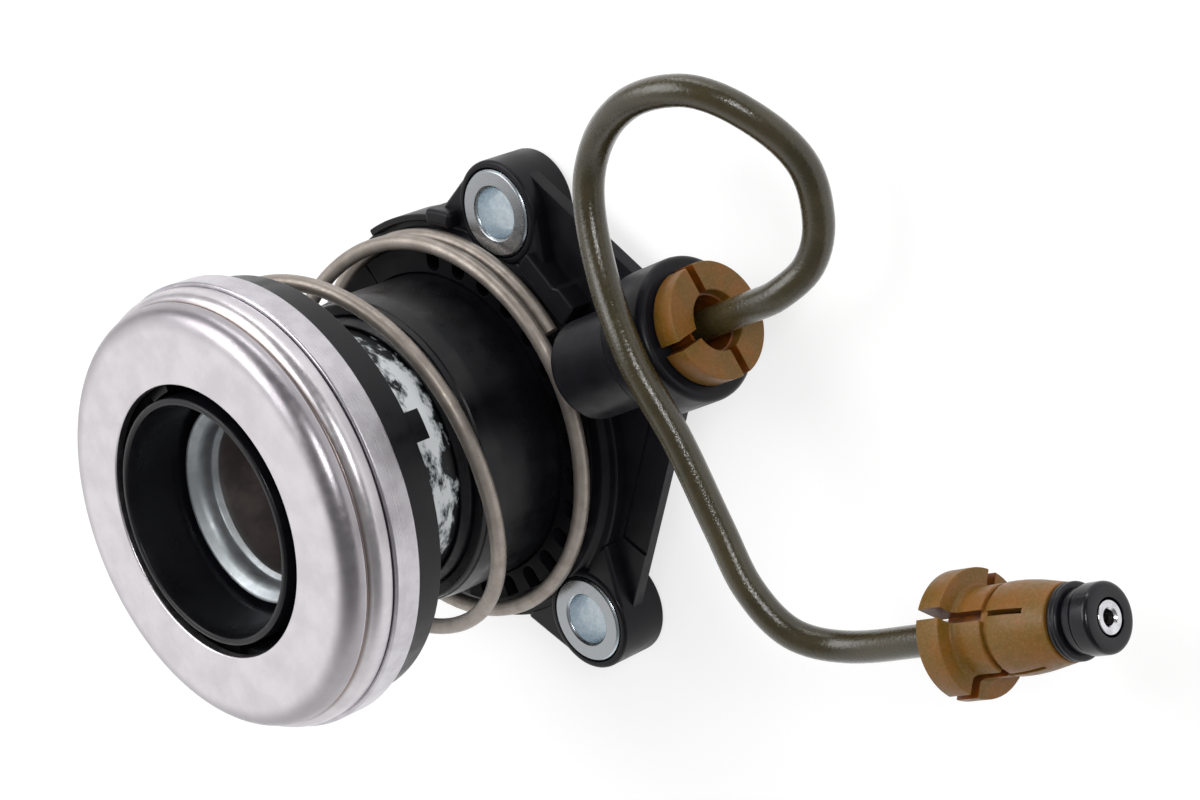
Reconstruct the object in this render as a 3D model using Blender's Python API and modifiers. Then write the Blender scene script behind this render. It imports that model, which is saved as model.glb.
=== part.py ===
# Concentric slave cylinder of a hydraulic clutch, with its release bearing and its line, at full travel.
# Origin: centre of the mounting face. +Z runs towards the release bearing, +X out of the hydraulic port.

import math

import bmesh
import bpy
from mathutils import Euler, Matrix, Vector
from mathutils.geometry import convex_hull_2d, interpolate_bezier

MM = 0.001  # every size below is in millimetres

# Gap between pieces that rest on each other, and between pieces that slide or turn
SEAT_GAP = 0.3
RUNNING_GAP = 0.4

# Chamfer of a small edge, and how far a cutter reaches past what it cuts
EDGE = 0.4
PAST = 1.0

# Smoothness: facets round a large outside, a large inside and a small piece
FINE = 32
COARSE = 24
SMALL = 14

# Guide tube, the steel tube that the gearbox shaft passes through
TUBE_BORE_R = 13.6
TUBE_WALL = 1.0
TUBE_FLANGE = 4.0
TUBE_FLANGE_T = 1.2
TUBE_FLARE = 2.0
TUBE_FLARE_START_Z = 50.4
TUBE_TOP_Z = 54.3
TUBE_RECESS = 0.2

# Housing: pressure chamber and its wall
CHAMBER_R = 22.4
CHAMBER_WALL = 2.2
CHAMBER_FLOOR_Z = 6.4
CHAMBER_TOP_Z = 27.2

# Housing: hub, spring seat and castellated ring that centres the spring
HUB_RIM = 0.9
HUB_TOP_Z = 8.4
HUB_OVERLAP = 3.0
SEAT_RIM = 0.4
SEAT_SLOPE = 0.8
SEAT_Z = 9.35
CROWN_WALL = 4.0
CROWN_TOP_Z = 12.4
CROWN_NOTCHES = 30
CROWN_NOTCH_W = 2.9
CROWN_WEB = 0.4
CROWN_TURN_DEG = 5.0

# Dust sleeve over the chamber wall, and the wiper in its mouth
SLEEVE_WALL = 1.1
SLEEVE_SOCKET = 3.2
SLEEVE_TOP_Z = 28.7
SLEEVE_TAPER = 3.9
SLEEVE_LIP = 2.6
WIPER_WALL = 1.05
WIPER_TOP_Z = 30.5

# Mounting lugs and the steel sleeves in them
LUG_REACH = 4.7
LUG_ANGLES = (46.5, 166.5, -73.5)
LUG_WALL = 1.4
LUG_TOP_Z = 9.2
LUG_ROUND = 0.35
BUSH_WALL = 3.0
BUSH_HOLE_R = 4.2
BUSH_PROUD = 0.3
BUSH_ROOM = 0.25

# Foot plate between two of the lugs, and the plateaus that carry the lugs
PLATE_LOW_Z = 4.3
PLATE_TOP_Z = 6.5
PLATE_CORNER = (55.2, -0.7)
PLATE_CORNER_R = 1.9
PLATE_TUCK = 0.1
PLATE_EDGE_IN = 2.2
PLATEAU_TOP_Z = 8.7
PLATEAU_LOW_Z = 2.4
PLATEAU_HALF_DEG = 22.5
PLATEAU_OVERLAP = 0.6

# Hydraulic port
PORT_Z = 14.7
PORT_R = 8.0
PORT_START = 5.6
PORT_START_ROUND = 1.5
CUP_R = 11.2
CUP_X = 56.5
CUP_ROUND = 2.0
CUP_FILLET = 1.0
CUP_RIM = 1.0
PORT_END_X = 67.0
PORT_WEB_W = 11.0
PORT_WEB_TOP_Z = 10.2
PORT_WEB_END_X = 58.0
DUCT_R = 0.9
DUCT_Z = 7.4
DRILLING_R = 1.1
DRILLING_X = 44.0
NOSE_BORE_R = 1.5

# Stop block, clip and low wall round the spring
STOP_ANGLE = 23.5
STOP_SPAN = (-6.0, 6.3)
STOP_STEP_AT = -1.4
STOP_DEPTHS = (4.4, 3.6)
STOP_TOP_Z = 11.0
CLIP_ANGLES = (57.5, 69.0)
CLIP_DEPTH = 3.8
CLIP_TOP_Z = 11.8
CLIP_LOW_Z = 4.8
WALL_ANGLES = (67.5, 96.0)
WALL_T = 1.2
WALL_LOW_Z = 3.0
WALL_TOP_Z = 10.0

# Seals of round section
GEARBOX_SEAL_R = 25.0
SEAL_WIRE_R = 1.0

# Spring
WIRE_R = 1.3
SPRING_GAP = 0.4
SPRING_ROOM = 0.6
SPRING_TIP_ANGLE = 14.0
SPRING_TURNS = 3.28
SPRING_POINTS_A_TURN = 24
SPRING_END_RISE = 2.9
SPRING_ACTIVE = (1.18, 2.42)

# Piston and its lip seal
PISTON_CLEARANCE = 0.6
PISTON_REAR_Z = 24.0
PISTON_FRONT_Z = 49.5
PISTON_SPIGOT = 0.7
PISTON_SPIGOT_WALL = 1.7
PISTON_WALL = 2.2
PISTON_CORE_Z = 27.5
LIP_SEAL_H = 3.7
LIP_T = 0.9
LIP_SLOPE = 1.1

# Bearing carrier, with the snap fingers that hold the bearing
CARRIER_SKIRT = 1.1
CARRIER_LOW_Z = 46.2
CARRIER_WEB_LOW_Z = 49.8
CARRIER_TOP_Z = 51.5
CARRIER_COLLAR = 1.5
CARRIER_COLLAR_LOW_Z = 47.0
CARRIER_PILOT_H = 3.0
TAB_ANGLES = (-1.0, 7.0)
TAB_LOW_Z = 43.7
TAB_TUCK = 0.1
FINGERS = 5
FINGER_FIRST_DEG = 25.5
FINGER_HALF_DEG = 6.5
FINGER_RISE = 1.6
FINGER_T = 1.5
HOOK_DEPTH = 1.2
HOOK_H = 1.2

# Sleeve in the bearing's bore
BORE_SLEEVE_LEDGE = 0.6
BORE_SLEEVE_FLARE = 1.3
BORE_SLEEVE_WALL = 1.1
BORE_SLEEVE_THROAT_H = 4.2
BORE_SLEEVE_PROUD = 0.3
BORE_SLEEVE_FOOT_H = 1.2

# Release bearing
INNER_RACE = 6.4
RACE_H = 7.4
RACE_SPIGOT = 1.7
RACE_PROUD = 0.65
RACE_LAND_H = 4.45
BALL_R = 2.9
BALL_RISE = 4.8
BALL_COUNT = 14
SHOULDER = 2.4
GROOVE_GAP = 0.2
CAGE_WALL = 2.2
CAGE_BELOW = 3.7
CAGE_ABOVE = 1.6
POCKET_GAP = 0.15
REAR_SEAL_T = 0.65
FACE_BORE_GAP = 2.0
FACE_RISE = 4.7
FACE_SHEET = 1.6
FACE_CORNER_R = 3.2
FACE_SKIRT = 1.1
FACE_DEPTH = 3.7
BEAD_PROUD = 1.4

# Quick fitting: stations along its axis from the pipe side to the nose
HEAD_R = 9.0
HEAD_LENGTH = 4.0
NECK_R = 6.3
NECK_LENGTH = 5.0
BODY_R = 6.4
BODY_LENGTH = 7.5
GROOVE_R = 5.6
GROOVE_W = 1.0
CONE_R = 5.3
CONE_LENGTH = 2.0
NOSE_SEAL_R = 5.3
NOSE_SEAL_W = 1.6
NOSE_WAIST_R = 4.55
NOSE_WAIST = 1.4
NOSE_R = 4.85
NOSE_LENGTH = 4.6
NOSE_ROUND = 0.7
NOSE_STEM_R = 3.7
MOUTH_R = 4.6
HEAD_SLOT_W = 1.5
BODY_SLOT_W = 1.1
SOCKET_DEPTH = 0.5
STEP_DEPTH = 2.5
PORT_SLOT_TURN_DEG = -10.0
FAR_SLOT_TURN_DEG = 52.0

# Hydraulic line, a bent steel pipe; its route is in the part's own frame
PIPE_R = 2.35
PIPE_WALL = 0.9
PIPE_STEP = 7.0
PIPE_ROUTE = (
    (84.0, 0.2, 14.1),
    (90.0, 2.5, 12.2),
    (94.6, 8.0, 11.9),
    (97.6, 16.5, 14.2),
    (96.1, 25.8, 20.2),
    (90.3, 31.5, 23.8),
    (78.7, 32.7, 24.8),
    (67.5, 26.9, 24.0),
    (64.2, 15.7, 25.6),
    (66.0, 0.1, 28.6),
    (67.9, -14.1, 27.8),
    (68.5, -28.2, 27.1),
    (69.5, -37.8, 26.9),
    (72.5, -45.6, 25.2),
    (79.0, -49.8, 22.6),
)
NEAR_LEAD = 7.0
FAR_LEAD = 7.0
INSERT_LENGTH = 3.2
INSERT_HOLE_R = 1.1
FAR_START = (93.5, -51.7, 21.8)
FAR_TURN_DEG = -4.4
FAR_RISE_DEG = 1.0

# Worked out from the driving dimensions
TUBE_R = TUBE_BORE_R + TUBE_WALL
TUBE_FLANGE_R = TUBE_R + TUBE_FLANGE
TUBE_FLARE_R = TUBE_R + TUBE_FLARE
TUBE_HOLE_R = TUBE_R + SEAT_GAP
CHAMBER_OUT_R = CHAMBER_R + CHAMBER_WALL
SLEEVE_IN_R = CHAMBER_OUT_R + SEAT_GAP
SLEEVE_R = SLEEVE_IN_R + SLEEVE_WALL
CROWN_IN_R = SLEEVE_R + SEAT_GAP
CROWN_R = CROWN_IN_R + CROWN_WALL
SPRING_R = CROWN_R + SPRING_GAP + WIRE_R
SPRING_ROOM_R = SPRING_R + WIRE_R + SPRING_ROOM
SEAT_R = SPRING_R + SEAT_RIM
HUB_R = SPRING_ROOM_R + HUB_RIM
LUG_PITCH_R = HUB_R + LUG_REACH
PORT_START_X = HUB_R + PORT_START
CARRIER_R = SPRING_R + WIRE_R + SEAT_GAP + CARRIER_SKIRT
PISTON_R = CHAMBER_R - PISTON_CLEARANCE
SLOT_FLOOR_Z = CROWN_TOP_Z - SLEEVE_SOCKET - SEAT_GAP
RECESS_R = TUBE_FLANGE_R + SEAT_GAP
RECESS_Z = TUBE_RECESS + TUBE_FLANGE_T + SEAT_GAP
TUBE_SEAL_R = TUBE_R + SEAT_GAP + SEAL_WIRE_R
TUBE_SEAL_Z = (RECESS_Z + CHAMBER_FLOOR_Z) / 2
SEAL_ROOM = SEAL_WIRE_R + SEAT_GAP
BUSH_R = BUSH_HOLE_R + BUSH_WALL
BUSH_ROOM_R = BUSH_R + BUSH_ROOM
LUG_R = BUSH_R + LUG_WALL
SPRING_FOOT_Z = SEAT_Z + SEAT_GAP + WIRE_R
SPRING_HEAD_Z = CARRIER_WEB_LOW_Z - RUNNING_GAP - WIRE_R
PISTON_BORE_R = TUBE_R + RUNNING_GAP
PISTON_TOP_Z = PISTON_FRONT_Z + PISTON_SPIGOT
SEAL_TOP_Z = PISTON_REAR_Z - SEAT_GAP
SEAL_LOW_Z = SEAL_TOP_Z - LIP_SEAL_H
RACE_LOW_Z = CARRIER_TOP_Z + SEAT_GAP
RACE_TOP_Z = RACE_LOW_Z + RACE_H
RACE_LAND_TOP_Z = RACE_LOW_Z + RACE_LAND_H
BALL_Z = RACE_LOW_Z + BALL_RISE
CAGE_LOW_Z = BALL_Z - CAGE_BELOW
CAGE_TOP_Z = BALL_Z + CAGE_ABOVE
FACE_Z = RACE_TOP_Z + FACE_RISE
FACE_GROOVE_Z = FACE_Z - FACE_DEPTH
FINGER_TOP_Z = RACE_TOP_Z + FINGER_RISE
BORE_SLEEVE_THROAT_Z = RACE_LOW_Z + BORE_SLEEVE_THROAT_H
BORE_SLEEVE_TOP_Z = FACE_Z + BORE_SLEEVE_PROUD
CARRIER_BORE_R = TUBE_FLARE_R + RUNNING_GAP
BORE_SLEEVE_THROAT_R = CARRIER_BORE_R + BORE_SLEEVE_LEDGE
BORE_SLEEVE_MOUTH_R = BORE_SLEEVE_THROAT_R + BORE_SLEEVE_FLARE
BORE_SLEEVE_R = BORE_SLEEVE_MOUTH_R + BORE_SLEEVE_WALL
PILOT_IN_R = BORE_SLEEVE_R + EDGE + SEAT_GAP
PILOT_R = PILOT_IN_R + FINGER_T
RACE_BORE_R = PILOT_R + RUNNING_GAP
BALL_PITCH_R = RACE_BORE_R + INNER_RACE
INNER_SHOULDER_R = BALL_PITCH_R - SHOULDER
OUTER_SHOULDER_R = BALL_PITCH_R + SHOULDER
RACE_SPIGOT_R = OUTER_SHOULDER_R + RACE_SPIGOT
FACE_BORE_R = BORE_SLEEVE_R + FACE_BORE_GAP
FACE_RIM_R = RACE_SPIGOT_R + FACE_SKIRT
BEAD_R = FACE_RIM_R + BEAD_PROUD
RACE_R = BEAD_R + RACE_PROUD
TRACK_R = BALL_R + GROOVE_GAP
NECK_S = HEAD_LENGTH
GROOVE_S = NECK_S + NECK_LENGTH
BODY_S = GROOVE_S + GROOVE_W
CONE_S = BODY_S + BODY_LENGTH
CONE_END_S = CONE_S + CONE_LENGTH
NOSE_S = CONE_END_S + NOSE_SEAL_W + 2 * SEAT_GAP
NOSE_END_S = NOSE_S + NOSE_LENGTH
PIPE_HOLE_R = PIPE_R + SEAT_GAP
HEAD_FACE_X = PORT_END_X + SEAT_GAP + HEAD_LENGTH


def clear_scene():
    for obj in list(bpy.data.objects):
        bpy.data.objects.remove(obj)


def new_collection(name, helpers=False):
    found = bpy.data.collections.new(name)
    bpy.context.scene.collection.children.link(found)
    found.hide_render = helpers
    return found


def finish(name, color, roughness, metallic=0.0):
    mat = bpy.data.materials.new(name)
    mat.use_nodes = True
    shader = mat.node_tree.nodes["Principled BSDF"]
    shader.inputs["Base Color"].default_value = (*color, 1.0)
    shader.inputs["Roughness"].default_value = roughness
    shader.inputs["Metallic"].default_value = metallic
    mat.diffuse_color = (*color, 1.0)
    return mat


clear_scene()
PARTS = new_collection("concentric_slave_cylinder")
HELPERS = new_collection("cutters_and_joined_shapes", helpers=True)
FINISHES = {
    "black_plastic": finish("black_plastic", (0.012, 0.011, 0.013), 0.42),
    "piston_plastic": finish("piston_plastic", (0.10, 0.10, 0.105), 0.35),
    "zinc_steel": finish("zinc_steel", (0.42, 0.47, 0.50), 0.38, 0.9),
    "bearing_steel": finish("bearing_steel", (0.55, 0.50, 0.48), 0.32, 1.0),
    "tube_steel": finish("tube_steel", (0.36, 0.35, 0.34), 0.36, 0.9),
    "spring_steel": finish("spring_steel", (0.36, 0.31, 0.25), 0.45, 0.5),
    "line_coating": finish("line_coating", (0.07, 0.055, 0.03), 0.35),
    "amber_plastic": finish("amber_plastic", (0.42, 0.20, 0.04), 0.40),
    "rubber": finish("rubber", (0.015, 0.015, 0.015), 0.6),
    "cage_plastic": finish("cage_plastic", (0.25, 0.16, 0.07), 0.5),
}


# A finish makes the object a piece of the part; without one it is a helper that a Boolean uses.
def add_object(name, data, slot=None):
    obj = bpy.data.objects.new(name, data)
    if slot:
        PARTS.objects.link(obj)
        data.materials.append(FINISHES[slot])
    else:
        HELPERS.objects.link(obj)
        obj.hide_render = True
        obj.display_type = "WIRE"
    return obj


def mesh_object(name, bm, slot=None):
    mesh = bpy.data.meshes.new(name)
    bm.to_mesh(mesh)
    bm.free()
    return add_object(name, mesh, slot)


def signed_area(outline):
    ends = outline[1:] + outline[:1]
    return sum(a[0] * b[1] - b[0] * a[1] for a, b in zip(outline, ends)) / 2


def arc(centre, radius, start_deg, end_deg, steps):
    angles = [math.radians(start_deg + (end_deg - start_deg) * i / steps) for i in range(steps + 1)]
    return [(centre[0] + radius * math.cos(a), centre[1] + radius * math.sin(a)) for a in angles]


# A closed outline of (radius, height) turned round Z. An edge that lies on Z makes no face.
def turned(name, outline, slot=None, steps=FINE):
    if signed_area(outline) > 0:
        outline = outline[::-1]
    bm = bmesh.new()
    ring = [bm.verts.new((r * MM, 0, z * MM)) for r, z in outline]
    for a, b in zip(ring, ring[1:] + ring[:1]):
        if a.co.x > 0 or b.co.x > 0:
            bm.edges.new((a, b))
    obj = mesh_object(name, bm, slot)
    screw = obj.modifiers.new("turn", "SCREW")
    screw.steps = steps
    screw.render_steps = steps
    screw.use_merge_vertices = True
    screw.merge_threshold = 1e-6
    screw.use_smooth_shade = True
    return obj


# An (x, y) outline, or several that don't touch, raised from low to high.
def prism(name, outlines, low, high, slot=None):
    bm = bmesh.new()
    for outline in outlines:
        face = bm.faces.new([bm.verts.new((x * MM, y * MM, low * MM)) for x, y in outline])
        grown = bmesh.ops.extrude_face_region(bm, geom=[face])
        top = [v for v in grown["geom"] if isinstance(v, bmesh.types.BMVert)]
        bmesh.ops.translate(bm, verts=top, vec=(0, 0, (high - low) * MM))
    bmesh.ops.recalc_face_normals(bm, faces=bm.faces)
    return mesh_object(name, bm, slot)


def polar(radius, angle_deg):
    a = math.radians(angle_deg)
    return (radius * math.cos(a), radius * math.sin(a))


def circle(centre, radius, steps=SMALL):
    return arc(centre, radius, 0, 360 - 360 / steps, steps - 1)


def hull(*shapes):
    points = [Vector(p) for shape in shapes for p in shape]
    return [tuple(points[i]) for i in convex_hull_2d(points)]


def sector(r_in, r_out, start_deg, end_deg, steps=8):
    return arc((0, 0), r_out, start_deg, end_deg, steps) + arc((0, 0), r_in, end_deg, start_deg, steps)


# A solid cylinder between two stations on its own Z, moved and turned by a matrix.
def rod(name, radius, low, high, matrix=None, steps=SMALL):
    bm = bmesh.new()
    lift = Matrix.Translation((0, 0, (low + high) / 2 * MM))
    bmesh.ops.create_cone(
        bm, cap_ends=True, segments=steps, radius1=radius * MM, radius2=radius * MM,
        depth=(high - low) * MM, matrix=lift,
    )
    obj = mesh_object(name, bm)
    if matrix:
        obj.matrix_world = matrix
    return obj


# A cutter whose flats, not its corners, lie at the radius, so that a round piece of that size goes in.
def drill(name, radius, low, high, matrix=None, steps=SMALL):
    return rod(name, radius / math.cos(math.pi / steps), low, high, matrix, steps)


def boolean(obj, other, operation):
    step = obj.modifiers.new(other.name, "BOOLEAN")
    step.object = other
    step.operation = operation
    step.solver = "EXACT"
    return obj


def cut(obj, *cutters):
    for cutter in cutters:
        boolean(obj, cutter, "DIFFERENCE")
    return obj


def join(obj, *others):
    for other in others:
        boolean(obj, other, "UNION")
    return obj


def round_seal(name, major, z):
    return turned(name, circle((major, z), SEAL_WIRE_R, 6), "rubber", COARSE)


# Points of a smooth curve through the given ones, about one step apart.
def smooth_route(points, step):
    points = [Vector(p) for p in points]
    tangents = []
    for i, point in enumerate(points):
        before = points[max(i - 1, 0)]
        after = points[min(i + 1, len(points) - 1)]
        tangents.append((after - before).normalized())
    route = [points[0]]
    for i in range(len(points) - 1):
        a, b = points[i], points[i + 1]
        reach = (b - a).length / 3
        count = max(2, round((b - a).length / step) + 1)
        route += interpolate_bezier(a, a + tangents[i] * reach, b - tangents[i + 1] * reach, b, count)[1:]
    return route


def sweep(name, points, radius, slot, capped=True):
    curve = bpy.data.curves.new(name + "_path", "CURVE")
    curve.dimensions = "3D"
    spline = curve.splines.new("POLY")
    spline.points.add(len(points) - 1)
    for target, point in zip(spline.points, points):
        target.co = (*(Vector(point) * MM), 1.0)
    curve.bevel_depth = radius * MM
    curve.bevel_resolution = 2
    curve.use_fill_caps = capped
    guide = bpy.data.objects.new(name + "_path", curve)
    HELPERS.objects.link(guide)
    bpy.context.view_layer.update()
    mesh = bpy.data.meshes.new_from_object(guide.evaluated_get(bpy.context.evaluated_depsgraph_get()))
    bpy.data.objects.remove(guide)
    bm = bmesh.new()
    bm.from_mesh(mesh)
    bmesh.ops.remove_doubles(bm, verts=bm.verts, dist=1e-6)
    bm.to_mesh(mesh)
    bm.free()
    mesh.name = name
    mesh.materials.clear()
    return add_object(name, mesh, slot)


def along(direction, origin):
    turn = Vector(direction).to_track_quat("Z", "Y").to_matrix().to_4x4()
    return Matrix.Translation(Vector(origin) * MM) @ turn


# Housing


def hub():
    groove_in = GEARBOX_SEAL_R - SEAL_ROOM
    groove_out = GEARBOX_SEAL_R + SEAL_ROOM
    groove_top = 2 * SEAL_ROOM
    seal_groove_r = TUBE_SEAL_R + SEAL_ROOM
    return turned("housing", [
        (TUBE_HOLE_R, RECESS_Z),
        (TUBE_HOLE_R, TUBE_SEAL_Z - SEAL_ROOM),
        (seal_groove_r, TUBE_SEAL_Z - SEAL_ROOM),
        (seal_groove_r, TUBE_SEAL_Z + SEAL_ROOM),
        (TUBE_HOLE_R, TUBE_SEAL_Z + SEAL_ROOM),
        (TUBE_HOLE_R, CHAMBER_FLOOR_Z),
        (CHAMBER_R, CHAMBER_FLOOR_Z),
        (CHAMBER_R, CHAMBER_TOP_Z),
        (CHAMBER_OUT_R, CHAMBER_TOP_Z),
        (CHAMBER_OUT_R, SLOT_FLOOR_Z),
        (CROWN_IN_R, SLOT_FLOOR_Z),
        (CROWN_IN_R, CROWN_TOP_Z),
        (CROWN_R, CROWN_TOP_Z),
        (CROWN_R, SEAT_Z),
        (SEAT_R, SEAT_Z),
        (SEAT_R + SEAT_SLOPE, HUB_TOP_Z),
        (HUB_R, HUB_TOP_Z),
        (HUB_R, 0),
        (groove_out, 0),
        (groove_out, groove_top),
        (groove_in, groove_top),
        (groove_in, 0),
        (RECESS_R, 0),
        (RECESS_R, RECESS_Z),
    ], "black_plastic")


def crown_notches():
    middle_r = CROWN_IN_R + CROWN_WEB + CROWN_NOTCH_W / 2
    half = CROWN_NOTCH_W / 2
    reach = CROWN_R + PAST
    flat = arc((middle_r, 0), half, 90, 270, 4) + [(reach, -half), (reach, half)]
    outlines = []
    for i in range(CROWN_NOTCHES):
        turn = Matrix.Rotation(math.radians(CROWN_TURN_DEG + 360 * i / CROWN_NOTCHES), 2)
        outlines.append([tuple(turn @ Vector(p)) for p in flat])
    return prism("crown_notches", outlines, SEAT_Z + SEAT_GAP, CROWN_TOP_Z + PAST)


def lug_centre(angle):
    return polar(LUG_PITCH_R, angle)


def lugs():
    made = []
    for i, angle in enumerate(LUG_ANGLES):
        centre = lug_centre(angle)
        roots = [polar(HUB_R, angle + side * PLATEAU_HALF_DEG) for side in (-1, 1)]
        plateau = prism(f"plateau_{i}", [hull(roots, circle(centre, LUG_R))], PLATEAU_LOW_Z, PLATEAU_TOP_Z)
        cut(plateau, rod(f"plateau_room_{i}", HUB_R - PLATEAU_OVERLAP, 0, LUG_TOP_Z, steps=FINE))
        boss = rod(f"lug_boss_{i}", LUG_R, 0, LUG_TOP_Z, Matrix.Translation((*Vector(centre) * MM, 0)))
        round_rim = boss.modifiers.new("rim", "BEVEL")
        round_rim.width = LUG_ROUND * MM
        round_rim.segments = 2
        round_rim.limit_method = "ANGLE"
        made += [plateau, boss]
    return made


def lug_holes():
    holes = []
    for i, angle in enumerate(LUG_ANGLES):
        place = Matrix.Translation((*Vector(lug_centre(angle)) * MM, 0))
        holes.append(drill(f"lug_hole_{i}", BUSH_ROOM_R, -PAST, LUG_TOP_Z + PAST, place))
    return holes


def foot_plate():
    upper_end = circle(lug_centre(LUG_ANGLES[0]), LUG_R - PLATE_TUCK, 24)
    lower_end = circle(lug_centre(LUG_ANGLES[2]), LUG_R - PLATE_EDGE_IN, 24)
    corner = circle(PLATE_CORNER, PLATE_CORNER_R, 12)
    return prism(
        "foot_plate",
        [hull(upper_end, corner, lower_end, [(0, 0)])],
        PLATE_LOW_Z, PLATE_TOP_Z,
    )


def port():
    half = PORT_WEB_W / 2
    start, end = HUB_R - HUB_OVERLAP, PORT_WEB_END_X
    floor = [(start, -half), (end, -half), (end, half), (start, half)]
    web = prism("port_web", [floor], PLATE_LOW_Z, PORT_WEB_TOP_Z)
    cut(web, rod("spring_room", SPRING_ROOM_R, HUB_TOP_Z, PORT_WEB_TOP_Z + PAST, steps=FINE))
    fillet_r = PORT_R + CUP_FILLET
    outline = [(0, PORT_START_X)]
    round_r = PORT_START_ROUND
    outline += arc((PORT_R - round_r, PORT_START_X + round_r), round_r, -90, 0, 2)
    outline += arc((fillet_r, CUP_X - CUP_FILLET), CUP_FILLET, 180, 90, 2)
    outline += arc((CUP_R - CUP_ROUND, CUP_X + CUP_ROUND), CUP_ROUND, -90, 0, 3)
    outline += arc((CUP_R - CUP_RIM, PORT_END_X - CUP_RIM), CUP_RIM, 0, 90, 2)
    outline += [(0, PORT_END_X)]
    tube = turned("port_tube", outline, steps=COARSE)
    tube.matrix_world = along((1, 0, 0), (0, 0, PORT_Z))
    return join(tube, web)


def port_bores():
    far = HEAD_FACE_X
    lane = along((1, 0, 0), (0, 0, PORT_Z))
    steps = [
        (BODY_R + SEAT_GAP, far - CONE_END_S - SEAT_GAP / 2, PORT_END_X + PAST),
        (NOSE_SEAL_R + SEAT_GAP, far - NOSE_S, far - CONE_END_S + PAST),
        (NOSE_R + SEAT_GAP, far - NOSE_END_S - 2 * SEAT_GAP, far - NOSE_S + PAST),
        (NOSE_BORE_R, DRILLING_X - NOSE_BORE_R, far - NOSE_END_S),
    ]
    bores = [drill(f"port_bore_{i}", r, a, b, lane) for i, (r, a, b) in enumerate(steps)]
    down = Matrix.Translation((DRILLING_X * MM, 0, 0))
    under = along((1, 0, 0), (0, 0, DUCT_Z))
    drilling = rod("port_drilling", DRILLING_R, DUCT_Z - DUCT_R / 2, PORT_Z, down, 8)
    duct = rod("oil_duct", DUCT_R, CHAMBER_R - PAST, DRILLING_X + DUCT_R / 2, under, 8)
    return join(duct, drilling, *bores[::-1])


def stop_block():
    near = SPRING_ROOM_R
    low, high = STOP_SPAN
    deep, shallow = (near + depth for depth in STOP_DEPTHS)
    slant = deep - shallow
    block = prism(
        "stop_block",
        [[
            (near, low), (deep, low), (deep, STOP_STEP_AT - slant / 2),
            (shallow, STOP_STEP_AT + slant / 2), (shallow, high), (near, high),
        ]],
        CLIP_LOW_Z, STOP_TOP_Z,
    )
    block.rotation_euler = Euler((0, 0, math.radians(STOP_ANGLE)))
    return block


def clip():
    outline = sector(SPRING_ROOM_R, SPRING_ROOM_R + CLIP_DEPTH, *CLIP_ANGLES, 3)
    return prism("clip", [outline], CLIP_LOW_Z, CLIP_TOP_Z)


def low_wall():
    inner = SPRING_ROOM_R + SEAT_GAP
    return prism("low_wall", [sector(inner, inner + WALL_T, *WALL_ANGLES, 6)], WALL_LOW_Z, WALL_TOP_Z)


# What stands round the hub, with room inside it for the hub's own section.
def surround():
    body = foot_plate()
    join(body, *lugs(), port(), stop_block(), clip(), low_wall())
    return cut(body, rod("hub_room", HUB_R - HUB_OVERLAP, -PAST, CHAMBER_TOP_Z, steps=FINE))


def housing():
    body = hub()
    join(body, surround())
    return cut(body, crown_notches(), *lug_holes(), port_bores())


def outer_sleeve():
    low = CROWN_TOP_Z - SLEEVE_SOCKET
    lip_low = CHAMBER_TOP_Z + SEAT_GAP
    return turned("outer_sleeve", [
        (SLEEVE_IN_R, low),
        (SLEEVE_R, low),
        (SLEEVE_R, SLEEVE_TOP_Z - SLEEVE_TAPER),
        (SLEEVE_R - EDGE, SLEEVE_TOP_Z - EDGE),
        (SLEEVE_R - 2 * EDGE, SLEEVE_TOP_Z),
        (SLEEVE_R - SLEEVE_LIP, SLEEVE_TOP_Z),
        (SLEEVE_R - SLEEVE_LIP, lip_low),
        (SLEEVE_IN_R, lip_low),
    ], "black_plastic")


def wiper_ring():
    inner = PISTON_R + 0.25
    low = CHAMBER_TOP_Z + SEAT_GAP
    return turned("wiper_ring", [
        (inner, low),
        (inner + WIPER_WALL, low),
        (inner + WIPER_WALL, SLEEVE_TOP_Z + 0.4),
        (inner + 0.35, WIPER_TOP_Z),
        (inner, WIPER_TOP_Z),
    ], "rubber", COARSE)


def guide_tube():
    rise = TUBE_TOP_Z - TUBE_FLARE_START_Z
    band_r = TUBE_BORE_R + 0.8 * TUBE_WALL
    return turned("guide_tube", [
        (TUBE_BORE_R, TUBE_RECESS),
        (TUBE_FLANGE_R, TUBE_RECESS),
        (TUBE_FLANGE_R, TUBE_RECESS + TUBE_FLANGE_T),
        (TUBE_R, TUBE_RECESS + TUBE_FLANGE_T),
        (TUBE_R, TUBE_FLARE_START_Z),
        (band_r + TUBE_WALL, TUBE_FLARE_START_Z + 0.45 * rise),
        (TUBE_FLARE_R - 0.7, TUBE_FLARE_START_Z + 0.75 * rise),
        (TUBE_FLARE_R, TUBE_TOP_Z - 0.5),
        (TUBE_FLARE_R, TUBE_TOP_Z),
        (TUBE_FLARE_R - 0.6, TUBE_TOP_Z),
        (band_r + 0.3, TUBE_FLARE_START_Z + 0.7 * rise),
        (band_r, TUBE_FLARE_START_Z + 0.45 * rise),
        (band_r, TUBE_FLARE_START_Z + 0.1 * rise),
        (TUBE_BORE_R, TUBE_FLARE_START_Z - 0.1 * rise),
    ], "tube_steel", COARSE)


def mounting_bushes():
    top = LUG_TOP_Z + BUSH_PROUD
    for i, angle in enumerate(LUG_ANGLES):
        bush = turned(f"mounting_bush_{i + 1}", [
            (BUSH_HOLE_R, 0),
            (BUSH_R, 0),
            (BUSH_R, top - EDGE),
            (BUSH_R - EDGE, top),
            (BUSH_HOLE_R + EDGE, top),
            (BUSH_HOLE_R, top - EDGE),
        ], "zinc_steel", SMALL)
        bush.location = (*Vector(lug_centre(angle)) * MM, 0)


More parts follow.
